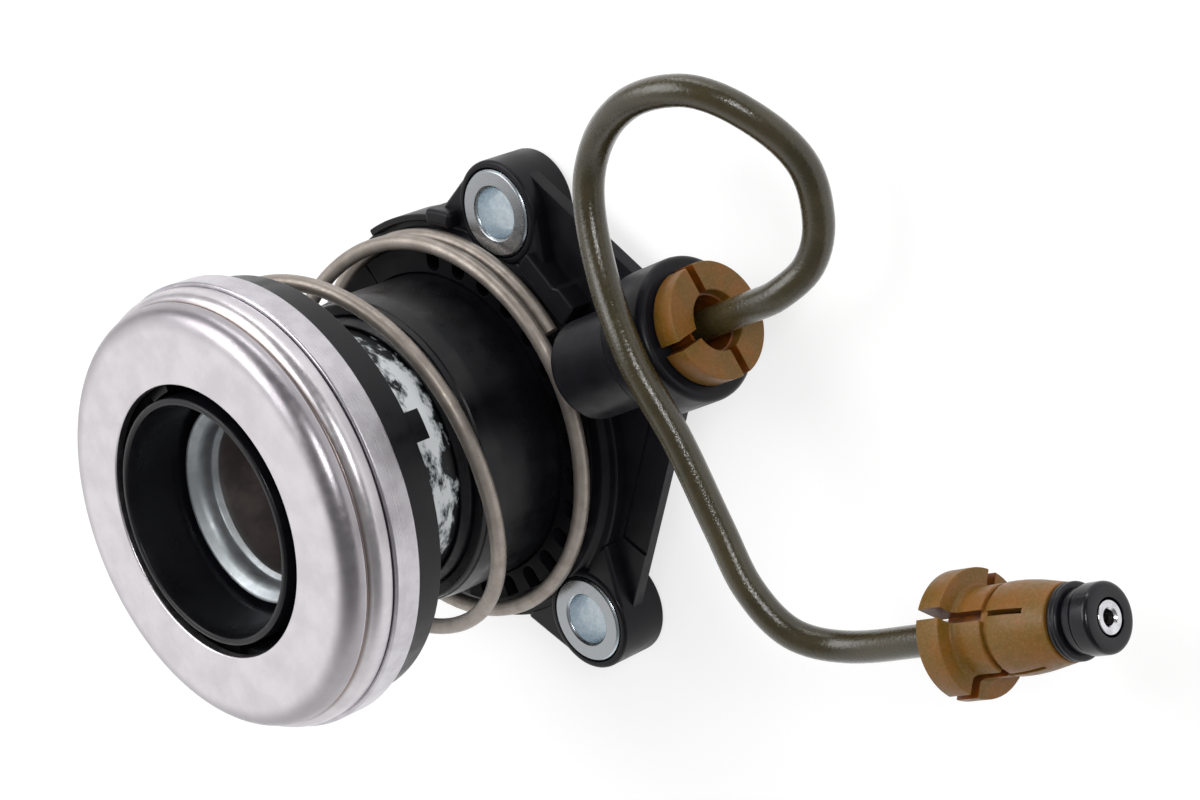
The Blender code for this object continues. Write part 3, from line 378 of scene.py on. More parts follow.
# Moulded nylon with a torn film of white silicone grease over the middle of its length
def greasedNylon():
    look = dict(
        black="#0A0A0E", grease="#E9EDEF", thin="#8F9699", lowZ=29.0, fullZ=34.5, lean=0.045, drawn=2.2,
        blobs=(8.5, 4.0, 0.60), torn=(2.4, 5.0, 0.65), blobShare=0.65,
    )
    tree, shader, spot = newMaterial("greased", "greasedNylon", Specular_IOR_Level=0.3)
    feeds = {"Vector": spot, "Scale": (1.0, 1.0, look["drawn"])}
    stretch = addNode(tree, "ShaderNodeMapping", feeds).outputs["Vector"]
    blobs = calculate(tree, "MULTIPLY", grain(tree, stretch, *look["blobs"]), look["blobShare"])
    torn = calculate(tree, "MULTIPLY", grain(tree, stretch, *look["torn"]), 1 - look["blobShare"])
    low, full = look["lowZ"] * mm, look["fullZ"] * mm
    lean = between(tree, heightOf(tree, spot), low, full, -look["lean"], look["lean"])
    film = calculate(tree, "ADD", calculate(tree, "ADD", blobs, torn), lean)
    cover = between(tree, film, 0.508, 0.530)
    thick = between(tree, film, 0.520, 0.590)
    grease = blendColour(tree, thick, hexColour(look["thin"]), hexColour(look["grease"]))
    colour = blendColour(tree, cover, hexColour(look["black"]), grease)
    tree.links.new(colour, shader.inputs["Base Color"])
    tree.links.new(between(tree, cover, 0.0, 1.0, 0.30, 0.16), shader.inputs["Roughness"])
    addBump(tree, shader, cover, 0.5, 0.15)
    addBump(tree, shader, thick, 0.6, 0.25)


# Steel line dipped in an olive-brown polymer: glossy, with an orange-peel skin that breaks its highlight
def coatedLineSteel():
    tree, shader, spot = surface(
        "line", "coatedLineSteel", "#2E2813", "#3A331E", ((9.0,), 0.35, 0.65), ((1.2,), 0.22, 0.34),
        bumps=[((0.45, 3.0, 0.65), 0.80, 0.08)], Specular_IOR_Level=0.25, Coat_Weight=0.8,
        Coat_Roughness=0.10,
    )
    tree.links.new(shader.inputs["Normal"].links[0].from_socket, shader.inputs["Coat Normal"])


tumbledBearingSteel()
groundBearingSteel()
platedTubeSteel()
brightZincSteel()
greasedNylon()
coatedLineSteel()

# The housing, its crown in a darker copy of the same nylon as painted shade under the spring, the smoother
# sleeves and the glossy noses of the fittings
mouldedNylon("housing", "glassFilledNylon", "#0E0E12", "#131318", 0.36, 0.20)
mouldedNylon("crownShade", "crownShadeNylon", "#0A0A0D", "#0E0E12", 0.48, 0.08, 0.25)
mouldedNylon("sleeve", "smoothBlackNylon", "#0B0B0F", "#0F0F14", 0.32, 0.30, 0.04)
mouldedNylon("gloss", "glossyBlackNylon", "#0A0A0F", "#0D0D13", 0.18, 0.35, 0.10)

# Oil-tempered spring wire, phosphated and oiled: warm grey-beige, satin, with faint drawing marks
surface(
    "spring", "phosphatedSpringWire", "#A39A92", "#938A82", ((3.0, 5.0), 0.35, 0.65),
    ((0.6,), 0.38, 0.50), flecks=[((0.3, 2.0), 0.62, 0.72, 0.5, "#75675F")],
    bumps=[((0.25,), 0.25, 0.03)], Metallic=0.7,
)

# Nitrile rubber, moulded: dead black with a soft shine
surface(
    "rubber", "mouldedRubber", "#0F0F13", "#18181D", ((2.0,), 0.35, 0.65), ((0.8,), 0.28, 0.45),
    bumps=[((0.35,), 0.12, 0.02)], Specular_IOR_Level=0.3,
)

# Unfilled heat-stabilised nylon, moulded: translucent amber under a dry pinkish-brown skin
surface(
    "amber", "amberNylon", "#7A4D10", "#694C0C", ((4.5, 5.0, 0.6), 0.38, 0.62), ((1.0,), 0.34, 0.50),
    flecks=[((0.35, 3.0), 0.40, 0.70, 0.35, "#8A6A45")], bumps=[((0.28,), 0.22, 0.03)],
    Specular_IOR_Level=0.35, Subsurface_Weight=0.12, Subsurface_Radius=(1.0, 0.6, 0.15),
    Subsurface_Scale=1.2 * mm,
)

# The same nylon on the slot walls and on the ring behind the neck: darker and more orange, as painted
# shade in the slots and a painted glow of light through the nylon
surface(
    "amberSlotShade", "amberSlotShadeNylon", "#7A4008", "#5A3004", ((2.0,), 0.35, 0.65), ((0.8,), 0.30, 0.42),
    Subsurface_Weight=0.25, Subsurface_Radius=(1.0, 0.40, 0.08), Subsurface_Scale=1.2 * mm,
)

# Polished steel of the balls and of the line's tip: mirror bright with faint haze
surface(
    "polished", "polishedSteel", "#D9D9DC", "#C4C4C8", ((1.5,), 0.35, 0.65), ((0.5,), 0.12, 0.24),
    Metallic=1.0,
)

# Natural nylon of the ball cage: straw brown, waxy
surface("cage", "cageNylon", "#8C6A3C", "#7A5A33", ((2.5,), 0.35, 0.65), ((0.8,), 0.40, 0.55))
print("materials made:", len(finishes))


# Housing: a turned hub with the ring that centres the spring, and what is moulded round it

housing = dict(
    tubeHoleR=14.9, recessR=18.9, recessZ=1.7, sealR=15.9, sealZ=4.05, sealRoom=1.3, floorZ=6.4,
    grooveInR=23.7, grooveOutR=26.3, chamberR=22.4, chamberOutR=24.6, chamberTopZ=27.2, slotFloorZ=8.9,
    seatR=32.4, seatZ=9.35, shelfR=33.2, rimR=34.8, rimZ=8.4,
    crownInR=26.3, crownR=30.3, crownTopZ=12.4, notchFloorZ=9.65, notchWeb=0.4, notchHalf=1.45,
    notches=30, notchTurnDeg=5.0, plainFromDeg=70, plainToDeg=200, crownEdge=0.25,
)
lug = dict(
    pitchR=39.5, anglesDeg=(46.5, 166.5, -73.5), bossR=8.6, boreR=7.45, topZ=9.2, edge=0.6,
    plateauLowZ=2.4, plateauTopZ=8.95, plateauDeg=22.5, plateauEdge=0.7, tuck=0.5,
)
plate = dict(
    lowZ=4.3, topZ=6.5, cornerX=55.2, cornerY=-0.7, cornerR=1.9, lowerR=6.4, edge=0.25, pocketDeep=0.35,
    pocket=((39.7, -11.2), (23.9, -27.0), (30.5, -34.9), (62.0, -12.0), (62.0, -6.0), (41.0, -6.0)),
)
port = dict(
    z=14.7, tubeR=8.0, startX=40.4, startRound=1.5, cupR=11.2, cupX=56.5, cupRound=2.2, cupFillet=1.6,
    endX=67.0, rimRound=1.2, bodyBoreR=6.7, sealBoreR=5.6, noseBoreR=5.15, bodyBoreX=51.65, sealBoreX=49.6,
    noseBoreX=44.4, wallR=7.4, webHalf=5.5, webTopZ=10.2, webEndX=58.0, webLowZ=4.4,
)
aroundSpring = dict(
    nearR=33.9, stopTurnDeg=23.5, stopLow=-6.0, stopHigh=6.3, stopDeep=4.4, stopShallow=3.6, stopStep=-1.4,
    stopTopZ=10.5, stopLowZ=4.8, clipStartDeg=59.5, clipEndDeg=69.0, clipDepth=2.8, clipTopZ=11.2,
    clipEdge=0.8, wallStartDeg=67.5, wallEndDeg=96.0, wallThick=1.2, wallLowZ=3.0, wallTopZ=10.0,
)


def polar(radius, angleDeg):
    return (radius * math.cos(math.radians(angleDeg)), radius * math.sin(math.radians(angleDeg)))


def closedRing(bm, outline, height):
    ring = [bm.verts.new((x * mm, y * mm, height * mm)) for x, y in outline]
    return [bm.edges.new(pair) for pair in zip(ring, ring[1:] + ring[:1])]


def drawOut(bm, faces, depth):
    grown = bmesh.ops.extrude_face_region(bm, geom=faces)["geom"]
    moved = [v for v in grown if isinstance(v, bmesh.types.BMVert)]
    bmesh.ops.translate(bm, verts=moved, vec=(0, 0, depth * mm))
    bmesh.ops.recalc_face_normals(bm, faces=bm.faces)


def roundEdges(bm, edges, rounding, steps):
    bmesh.ops.bevel(
        bm, geom=edges, offset=rounding * mm, affect="EDGES", segments=steps, profile=0.5, material=-1,
        clamp_overlap=True,
    )


# A closed outline of (x, y) raised from low to high, with its corners and its upper edges rounded
def raised(outline, low, high, rounding, steps=4):
    foot = (low + 0.01) * mm
    bm = bmesh.new()
    face = bmesh.ops.contextual_create(bm, geom=closedRing(bm, outline, low))["faces"][0]
    drawOut(bm, [face], high - low)
    corners = [e for e in bm.edges if e.calc_face_angle(0) > 0.5 and max(v.co.z for v in e.verts) > foot]
    roundEdges(bm, corners, rounding, steps)
    return bm


def addShell(bm, shell):
    spare = bpy.data.meshes.new("shell")
    shell.to_mesh(spare)
    shell.free()
    bm.from_mesh(spare)
    bpy.data.meshes.remove(spare)


def roundRod(bm, x, y, radius, lowZ, highZ, segments=smallSteps):
    spot = Matrix.Translation((x * mm, y * mm, (lowZ + highZ) / 2 * mm))
    bmesh.ops.create_cone(
        bm, cap_ends=True, segments=segments, radius1=radius * mm, radius2=radius * mm,
        depth=(highZ - lowZ) * mm, matrix=spot,
    )


# Room for the three steel sleeves
def sleeveRooms():
    bm = bmesh.new()
    for angle in lug["anglesDeg"]:
        roundRod(bm, *polar(lug["pitchR"], angle), lug["boreR"], -20, 20)
    return bm


# Room for what stands inside a radius
def hubRoom(radius, lowZ=-20):
    bm = bmesh.new()
    roundRod(bm, 0, 0, radius, lowZ, 40, hubSteps)
    return bm


def cutShell(bm, *cutters):
    body = smoothPiece("cutBody", bm, [])
    tools = [smoothPiece("cutter", cutter, []) for cutter in cutters]
    for tool in tools:
        step = body.modifiers.new("cut", "BOOLEAN")
        step.object = tool
        step.operation = "DIFFERENCE"
        step.solver = "EXACT"
    return takeShape(body, *tools)


def hubShell():
    h = housing
    bm = turnedMesh([
        (h["tubeHoleR"], h["recessZ"], 0.2),
        (h["tubeHoleR"], h["sealZ"] - h["sealRoom"]),
        (h["sealR"] + h["sealRoom"], h["sealZ"] - h["sealRoom"]),
        (h["sealR"] + h["sealRoom"], h["sealZ"] + h["sealRoom"]),
        (h["tubeHoleR"], h["sealZ"] + h["sealRoom"]),
        (h["tubeHoleR"], h["floorZ"]),
        (h["chamberR"], h["floorZ"], 0.5),
        (h["chamberR"], h["chamberTopZ"], 0.3),
        (h["chamberOutR"], h["chamberTopZ"], 0.3),
        (h["chamberOutR"], h["slotFloorZ"]),
        (h["crownInR"], h["slotFloorZ"]),
        (h["crownInR"], h["notchFloorZ"]),
        (h["crownR"], h["notchFloorZ"], 0.1),
        (h["crownR"], h["seatZ"], 0.1),
        (h["seatR"], h["seatZ"], 0.3),
        (h["shelfR"], h["rimZ"], 0.3),
        (h["rimR"], h["rimZ"], 0.35),
        (h["rimR"], 0, 0.4),
        (h["grooveOutR"], 0, 0.2),
        (h["grooveOutR"], 2 * h["sealRoom"], 0.3),
        (h["grooveInR"], 2 * h["sealRoom"], 0.3),
        (h["grooveInR"], 0, 0.2),
        (h["recessR"], 0, 0.3),
        (h["recessR"], h["recessZ"], 0.2),
    ], hubSteps)
    return cutShell(bm, sleeveRooms())


# The crown: a thin ring whose outline runs into round-ended notches, standing on the hub. Its upper left
# is a plain wall
def crownShell():
    h = housing
    middleR = h["crownInR"] + h["notchWeb"] + h["notchHalf"]
    half = h["notchHalf"]
    edgeDeg = math.degrees(math.asin(half / h["crownR"]))
    pitchDeg = 360 / h["notches"]
    tooth = arcPoints((0, 0), h["crownR"], edgeDeg, pitchDeg - edgeDeg, 6)
    notch = arcPoints((middleR, 0), half, 270, 90, 10)
    plain = arcPoints((0, 0), h["crownR"], -edgeDeg, edgeDeg, 10)
    outline = []
    for i in range(h["notches"]):
        atDeg = h["notchTurnDeg"] + pitchDeg * i
        turn = Matrix.Rotation(math.radians(atDeg), 2)
        start = plain if h["plainFromDeg"] < atDeg < h["plainToDeg"] else notch
        outline += [tuple(turn @ Vector(p)) for p in start + tooth]
    firstDeg, shareDeg = h["notchTurnDeg"] - edgeDeg, 360 / len(outline)
    inner = [polar(h["crownInR"], firstDeg + shareDeg * (k + 0.5)) for k in range(len(outline))]
    bm = bmesh.new()
    rings = closedRing(bm, outline, h["crownTopZ"]) + closedRing(bm, inner, h["crownTopZ"])
    faces = bmesh.ops.bridge_loops(bm, edges=rings)["faces"]
    drawOut(bm, faces, h["slotFloorZ"] + 0.1 - h["crownTopZ"])
    top = (h["crownTopZ"] - 0.1) * mm
    rim = [e for e in bm.edges if e.calc_face_angle(0) > 0.9 and min(v.co.z for v in e.verts) > top]
    roundEdges(bm, rim, h["crownEdge"], 3)
    return bm


# Boss: a ring that the steel sleeve stands in
def bossShell():
    g = lug
    return turnedMesh([
        (g["boreR"], 0.05),
        (g["bossR"], 0.05, 0.4),
        (g["bossR"], g["topZ"], g["edge"]),
        (g["boreR"], g["topZ"], 0.1),
    ], smallSteps)


def hull(*shapes):
    points = [Vector(p) for shape in shapes for p in shape]
    return [tuple(points[i]) for i in convex_hull_2d(points)]


def circlePoints(centre, radius, steps=48):
    return arcPoints(centre, radius, 0, 360 - 360 / steps, steps - 1)


# Plateau: the web that widens from a boss to the hub's rim
def plateauShell(angle):
    g = lug
    roots = [polar(housing["rimR"], angle + side * g["plateauDeg"]) for side in (-1, 1)]
    outline = hull(roots, circlePoints(polar(g["pitchR"], angle), g["bossR"] - 0.05))
    bm = raised(outline, g["plateauLowZ"], g["plateauTopZ"], g["plateauEdge"])
    return cutShell(bm, sleeveRooms(), hubRoom(housing["rimR"] - g["tuck"]))


# Foot plate between two bosses, with a shallow pocket along its edge
def plateShell():
    p, g = plate, lug
    upper, lower = polar(g["pitchR"], g["anglesDeg"][0]), polar(g["pitchR"], g["anglesDeg"][2])
    outline = hull(
        circlePoints(upper, g["bossR"] - 0.1), circlePoints((p["cornerX"], p["cornerY"]), p["cornerR"]),
        circlePoints(lower, p["lowerR"]), [(0, 0)],
    )
    pocket = raised(p["pocket"], p["topZ"] - p["pocketDeep"], p["topZ"] + 1, 0.1, 1)
    bm = raised(outline, p["lowZ"], p["topZ"], p["edge"], 2)
    return cutShell(bm, sleeveRooms(), hubRoom(housing["rimR"] - 1), pocket)


# The port's barrel, stepped inside for the quick fitting, on a web that rises from the foot plate
def portShells():
    p = port
    barrel = turnedMesh([
        (0, p["startX"]),
        (p["tubeR"], p["startX"], p["startRound"]),
        (p["tubeR"], p["cupX"], p["cupFillet"]),
        (p["cupR"], p["cupX"], p["cupRound"]),
        (p["cupR"], p["endX"], p["rimRound"]),
        (p["bodyBoreR"], p["endX"], 0.3),
        (p["bodyBoreR"], p["bodyBoreX"]),
        (p["sealBoreR"], p["bodyBoreX"] - 0.4),
        (p["sealBoreR"], p["sealBoreX"]),
        (p["noseBoreR"], p["sealBoreX"] - 0.4),
        (p["noseBoreR"], p["noseBoreX"]),
        (0, p["noseBoreX"]),
    ], 144)
    move(barrel, along((1, 0, 0), (0, 0, p["z"])))
    half = p["webHalf"]
    tilt = math.degrees(math.asin(half / p["wallR"]))
    under = arcPoints((0, p["z"]), p["wallR"], -90 + tilt, -90 - tilt, 12)
    section = [(-half, p["webLowZ"]), (half, p["webLowZ"]), *under]
    web = raised(section, p["startX"] + 0.4, p["webEndX"], 0.0)
    move(web, Matrix(((0, 0, 1, 0), (1, 0, 0, 0), (0, 1, 0, 0), (0, 0, 0, 1))))
    near = p["startX"] + 1.0
    root = raised([(30, -half), (near, -half), (near, half), (30, half)], p["webLowZ"], p["webTopZ"], 0.5)
    root = cutShell(root, hubRoom(aroundSpring["nearR"], housing["rimZ"]), hubRoom(housing["rimR"] - 1))
    return [barrel, web, root]


# Stop block beside the spring, clip and low wall
def aroundSpringShells():
    a = aroundSpring
    near = a["nearR"]
    deep, shallow = near + a["stopDeep"], near + a["stopShallow"]
    slant = (deep - shallow) / 2
    stop = raised([
        (near, a["stopLow"]), (deep, a["stopLow"]), (deep, a["stopStep"] - slant),
        (shallow, a["stopStep"] + slant), (shallow, a["stopHigh"]), (near, a["stopHigh"]),
    ], a["stopLowZ"], a["stopTopZ"], 0.35)
    move(stop, turnZ(a["stopTurnDeg"]))
    clipOutR = near + a["clipDepth"]
    clipOutline = [
        *arcPoints((0, 0), clipOutR, a["clipStartDeg"], a["clipEndDeg"], 6),
        *arcPoints((0, 0), near, a["clipEndDeg"], a["clipStartDeg"], 6),
    ]
    clip = raised(clipOutline, a["stopLowZ"], a["clipTopZ"], a["clipEdge"])
    wallIn = near + 0.3
    wallOutline = [
        *arcPoints((0, 0), wallIn + a["wallThick"], a["wallStartDeg"], a["wallEndDeg"], 16),
        *arcPoints((0, 0), wallIn, a["wallEndDeg"], a["wallStartDeg"], 16),
    ]
    wall = raised(wallOutline, a["wallLowZ"], a["wallTopZ"], 0.3)
    return [stop, clip, wall]


def mouldedHousing():
    bm = hubShell()
    crown = crownShell()
    # The crown takes the darker copy of the nylon: painted shade under the spring's coils
    for face in crown.faces:
        face.material_index = 1
    shells = [crown, plateShell(), *portShells(), *aroundSpringShells()]
    for angle in lug["anglesDeg"]:
        shells.append(plateauShell(angle))
        boss = bossShell()
        bmesh.ops.translate(boss, verts=boss.verts, vec=(*(Vector(polar(lug["pitchR"], angle)) * mm), 0))
        shells.append(boss)
    for shell in shells:
        addShell(bm, shell)
    piece = smoothPiece("mouldedHousing", bm, [finishes["housing"], finishes["crownShade"]])
    flatFaces(piece)
    dress(piece, "housing", "moulded_nylon", "housing")


mouldedHousing()
print("housing moulded")


# Release bearing

bearing = dict(
    boreR=22.0, faceZ=63.9, sheet=1.6, cornerR=3.2, rimR=34.2, grooveZ=60.2, beadR=35.6, beadLowZ=56.55,
    landR=36.25, landLowZ=51.8, landTopZ=56.45, spigotGap=1.1, shoulderR=31.4,
    pitchR=29.0, ballZ=56.6, trackR=3.1, grooveDeep=0.3,
)


def faceRing():
    b = bearing
    innerR = b["rimR"] - b["spigotGap"] + 0.3
    profile = [
        (b["boreR"], b["faceZ"], 0.35),
        (b["rimR"], b["faceZ"], b["cornerR"]),
        (b["rimR"], b["grooveZ"] + 0.4, 0.3),
        (b["rimR"] - b["grooveDeep"], b["grooveZ"], 0.25),
        (b["rimR"] + 0.15, b["grooveZ"] - 0.35, 0.3),
        (b["beadR"], b["grooveZ"] - 1.0, 1.3),
        (b["beadR"], b["beadLowZ"], 0.3),
        (innerR, b["beadLowZ"]),
        (innerR, b["grooveZ"] - 0.9, 0.3),
        (b["rimR"] - b["sheet"], b["grooveZ"], 0.3),
        (b["rimR"] - b["sheet"], b["faceZ"] - b["sheet"], b["cornerR"] - b["sheet"]),
        (b["boreR"], b["faceZ"] - b["sheet"], 0.3),
    ]
    piece = turnedPiece("pressedFaceRing", profile, "face")
    dress(piece, "bearing_outer", "face_steel", "bearing_face_ring")


def outerRace():
    b = bearing
    spigotR = b["rimR"] - b["spigotGap"]
    top = b["grooveZ"] - b["spigotGap"]
    halfDeg = math.degrees(math.acos((b["shoulderR"] - b["pitchR"]) / b["trackR"]))
    track = arcPoints((b["pitchR"], b["ballZ"]), b["trackR"], -halfDeg, halfDeg, 12)
    profile = [
        (b["shoulderR"], b["landLowZ"]),
        *track,
        (b["shoulderR"], top, 0.15),
        (spigotR, top, 0.15),
        (spigotR, b["landTopZ"]),
        (b["landR"] - 0.25, b["landTopZ"], 0.1),
        (b["landR"], b["landTopZ"] - 0.25, 0.1),
        (b["landR"], b["landLowZ"], 0.35),
    ]
    piece = turnedPiece("groundOuterRing", profile, "ground")
    dress(piece, "bearing_outer", "race_steel", "bearing_outer_race")


faceRing()
outerRace()
print("bearing rings made")


# Carrier, its sleeve in the bearing's bore, and the snap fingers that hold the bearing

carrier = dict(
    outerR=34.7, skirt=1.1, lowZ=46.2, webLowZ=49.8, topZ=51.5, boreR=17.0,
    collarInR=22.1, collarOutR=23.6, collarLowZ=47.0, pilotR=22.2, pilotInR=20.7, pilotTopZ=54.5,
    fingers=5, fingerFirstDeg=25.5, fingerHalfDeg=6.5, fingerTopZ=60.8, hookR=23.4, hookZ=59.6,
    tabStartDeg=-1.0, tabEndDeg=7.0, tabLowZ=43.7,
    sleeveR=20.0, mouthR=18.9, throatR=17.6, throatZ=56.0, sleeveLowZ=51.8, sleeveTopZ=64.2, footR=20.4,
)


def turnedSector(profile, startDeg, endDeg):
    bm = turnedMesh(profile, 12, math.radians(endDeg - startDeg))
    move(bm, turnZ(startDeg))
    return bm


def bearingCarrier():
    c = carrier
    skirtIn = c["outerR"] - c["skirt"]
    profile = [
        (c["boreR"], c["webLowZ"], 0.2),
        (c["collarInR"], c["webLowZ"]),
        (c["collarInR"], c["collarLowZ"], 0.2),
        (c["collarOutR"], c["collarLowZ"], 0.2),
        (c["collarOutR"], c["webLowZ"], 0.4),
        (skirtIn, c["webLowZ"], 0.5),
        (skirtIn, c["lowZ"], 0.2),
        (c["outerR"], c["lowZ"], 0.25),
        (c["outerR"], c["topZ"], 0.35),
        (c["pilotR"], c["topZ"]),
        (c["pilotR"], c["pilotTopZ"], 0.3),
        (c["pilotInR"], c["pilotTopZ"], 0.2),
        (c["pilotInR"], c["topZ"]),
        (c["boreR"], c["topZ"], 0.2),
    ]
    bm = turnedMesh(profile)
    tab = [
        (skirtIn + 0.1, c["tabLowZ"]), (c["outerR"] - 0.05, c["tabLowZ"]),
        (c["outerR"] - 0.05, c["lowZ"] + 1), (skirtIn + 0.1, c["lowZ"] + 1),
    ]
    addShell(bm, turnedSector(tab, c["tabStartDeg"], c["tabEndDeg"]))
    finger = [
        (c["pilotInR"], c["pilotTopZ"] - 1),
        (c["pilotR"], c["pilotTopZ"] - 1),
        (c["pilotR"], c["hookZ"], 0.2),
        (c["hookR"], c["hookZ"], 0.15),
        (c["hookR"] - 0.5, c["fingerTopZ"], 0.25),
        (c["pilotInR"], c["fingerTopZ"], 0.25),
    ]
    for i in range(c["fingers"]):
        middle = c["fingerFirstDeg"] + 360 / c["fingers"] * i
        addShell(bm, turnedSector(finger, middle - c["fingerHalfDeg"], middle + c["fingerHalfDeg"]))
    piece = smoothPiece("bearingCarrier", bm, [finishes["sleeve"]])
    flatFaces(piece)
    dress(piece, "carrier", "sleeve_nylon", "bearing_carrier")


def boreSleeve():
    c = carrier
    profile = [
        (c["throatR"], c["sleeveLowZ"], 0.2),
        (c["footR"], c["sleeveLowZ"]),
        (c["footR"], c["sleeveLowZ"] + 1.2, 0.2),
        (c["sleeveR"], c["sleeveLowZ"] + 1.2),
        (c["sleeveR"], c["sleeveTopZ"], 0.45),
        (c["mouthR"], c["sleeveTopZ"], 0.35),
        (c["mouthR"] - 0.35, c["sleeveTopZ"] - 1.5, 0.4),
        (c["throatR"], c["throatZ"], 0.3),
    ]
    piece = turnedPiece("boreSleeve", profile, "sleeve")
    dress(piece, "carrier", "sleeve_nylon", "bore_sleeve")


bearingCarrier()
boreSleeve()
print("carrier made")


# Guide tube, dust sleeve, wiper and piston

tube = dict(
    boreR=13.6, wall=1.0, recess=0.2, flangeR=18.6, flangeT=1.2, flareStartZ=50.4, topZ=54.3, flareR=16.6,
)


def guideTube():
    t = tube
    outR = t["boreR"] + t["wall"]
    rise = t["topZ"] - t["flareStartZ"]
    bandR = t["boreR"] + 0.8 * t["wall"]
    profile = [
        (t["boreR"], t["recess"], 0.4),
        (t["flangeR"], t["recess"], 0.2),
        (t["flangeR"], t["recess"] + t["flangeT"], 0.2),
        (outR, t["recess"] + t["flangeT"], 0.5),
        (outR, t["flareStartZ"], 0.4),
        (bandR + t["wall"], t["flareStartZ"] + 0.45 * rise, 0.6),
        (t["flareR"], t["topZ"] - 0.9, 0.3),
        (t["flareR"], t["topZ"], 0.2),
        (t["flareR"] - 0.6, t["topZ"], 0.25),
        (bandR + 0.3, t["flareStartZ"] + 0.7 * rise, 0.5),
        (bandR, t["flareStartZ"] + 0.45 * rise, 0.4),
        (bandR, t["flareStartZ"] + 0.1 * rise, 0.2),
        (t["boreR"], t["flareStartZ"] - 0.1 * rise, 0.1),
    ]
    piece = turnedPiece("guideTube", profile, "tube")
    dress(piece, "housing", "tube_steel", "guide_tube")


def dustSleeve():
    inR, outR, lowZ, topZ, lip = 24.9, 26.0, 9.2, 28.7, 2.6
    profile = [
        (inR, lowZ),
        (outR, lowZ, 0.2),
        (outR, topZ - 3.9, 0.6),
        (outR - 0.35, topZ - 1.1, 0.15),
        (outR - 0.55, topZ - 0.95, 0.1),
        (outR - 0.8, topZ, 0.25),
        (outR - lip, topZ, 0.2),
        (outR - lip, 27.5),
        (inR, 27.5, 0.2),
    ]
    piece = turnedPiece("dustSleeve", profile, "sleeve")
    dress(piece, "housing", "sleeve_nylon", "outer_sleeve")


def wiperRing():
    low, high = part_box("wiper_ring")
    outR = high.x / mm
    inR = outR - 1.05
    profile = [
        (inR, low.z / mm),
        (outR, low.z / mm),
        (outR, high.z / mm - 1.4, 0.3),
        (inR + 0.35, high.z / mm, 0.12),
        (inR, high.z / mm, 0.1),
    ]
    piece = turnedPiece("wiperLip", profile, "rubber")
    dress(piece, "housing", "seal_rubber", "wiper_ring")


def piston():
    boreR, outR, wall = 15.0, 21.8, 2.2
    rearZ, frontZ, coreZ, spigotZ, spigotR = 24.0, 49.5, 27.5, 50.2, 16.7
    profile = [
        (boreR, rearZ, 0.2),
        (outR, rearZ, 0.35),
        (outR, frontZ, 0.2),
        (outR - wall, frontZ, 0.2),
        (outR - wall, coreZ, 0.4),
        (boreR + wall, coreZ, 0.4),
        (boreR + wall, frontZ),
        (spigotR, frontZ),
        (spigotR, spigotZ, 0.2),
        (boreR, spigotZ, 0.2),
    ]
    piece = turnedPiece("greasedPiston", profile, "greased")
    dress(piece, "carrier", "piston_nylon", "piston")


guideTube()
dustSleeve()
wiperRing()
piston()
print("tube, sleeve, wiper and piston made")


# Steel sleeves in the three lugs

bush = dict(outR=7.2, holeR=4.2, topZ=9.5, edge=0.35)


def mountingSleeves():
    b = bush
    profile = [
        (b["holeR"], 0, 0.3),
        (b["outR"], 0, 0.3),
        (b["outR"], b["topZ"] - b["edge"], 0.1),
        (b["outR"] - b["edge"], b["topZ"], 0.12),
        (b["holeR"] + b["edge"], b["topZ"], 0.12),
        (b["holeR"], b["topZ"] - b["edge"], 0.1),
    ]
    for i, angle in enumerate(lug["anglesDeg"]):
        spot = turnZ(angle) @ Matrix.Translation((lug["pitchR"] * mm, 0, 0))
        piece = turnedPiece(f"lugSleeve{i + 1}", profile, "zinc", spot, smallSteps)
        dress(piece, "housing", "zinc_steel", f"mounting_bush_{i + 1}")


mountingSleeves()


# Preload spring: a flat coil on the seat, an open stretch, a flat coil under the carrier. The open
# stretch is pressed in a little below the bearing, as the dip says

spring = dict(
    wireR=1.3, coilR=32.0, tipDeg=14.0, turns=3.28, footZ=10.95, headZ=48.1, endRise=2.9,
    activeStart=1.18, activeEnd=2.42, pointsPerTurn=96, dipTurn=1.72, dipHalf=0.24, dipIn=1.3, dipDown=3.2,
)


def springHeight(turns):
    s = spring
    stations = (
        (0.0, s["footZ"]),
        (0.14, s["footZ"]),
        (1.0, s["footZ"] + s["endRise"]),
        (s["activeStart"], s["footZ"] + s["endRise"] + 1.0),
        (s["activeEnd"], s["headZ"] - 0.8),
        (s["activeEnd"] + 0.1, s["headZ"]),
        (s["turns"] + 1, s["headZ"]),
    )
    for (turnA, zA), (turnB, zB) in zip(stations, stations[1:]):
        if turns <= turnB:
            return zA + (zB - zA) * (turns - turnA) / (turnB - turnA)
    return s["headZ"]


def preloadSpring():
    s = spring
    count = round(s["turns"] * s["pointsPerTurn"])
    points = []
    for i in range(count + 1):
        turns = s["turns"] * i / count
        angle = math.radians(s["tipDeg"] + 360 * turns)
        near = [springHeight(max(0.0, turns + shift)) for shift in (-0.05, -0.025, 0.0, 0.025, 0.05)]
        away = min(1.0, abs(turns - s["dipTurn"]) / s["dipHalf"])
        dip = math.cos(away * math.pi / 2) ** 2
        radius = s["coilR"] - s["dipIn"] * dip
        height = sum(near) / len(near) - s["dipDown"] * dip
        points.append((radius * math.cos(angle), radius * math.sin(angle), height))
    piece = sweptPiece("preloadSpring", points, s["wireR"], "spring", 6)
    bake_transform(piece)
    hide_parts("preload_spring")


preloadSpring()
print("spring wound")


# Quick fittings: stations run along the axis from the pipe side of the head to the nose

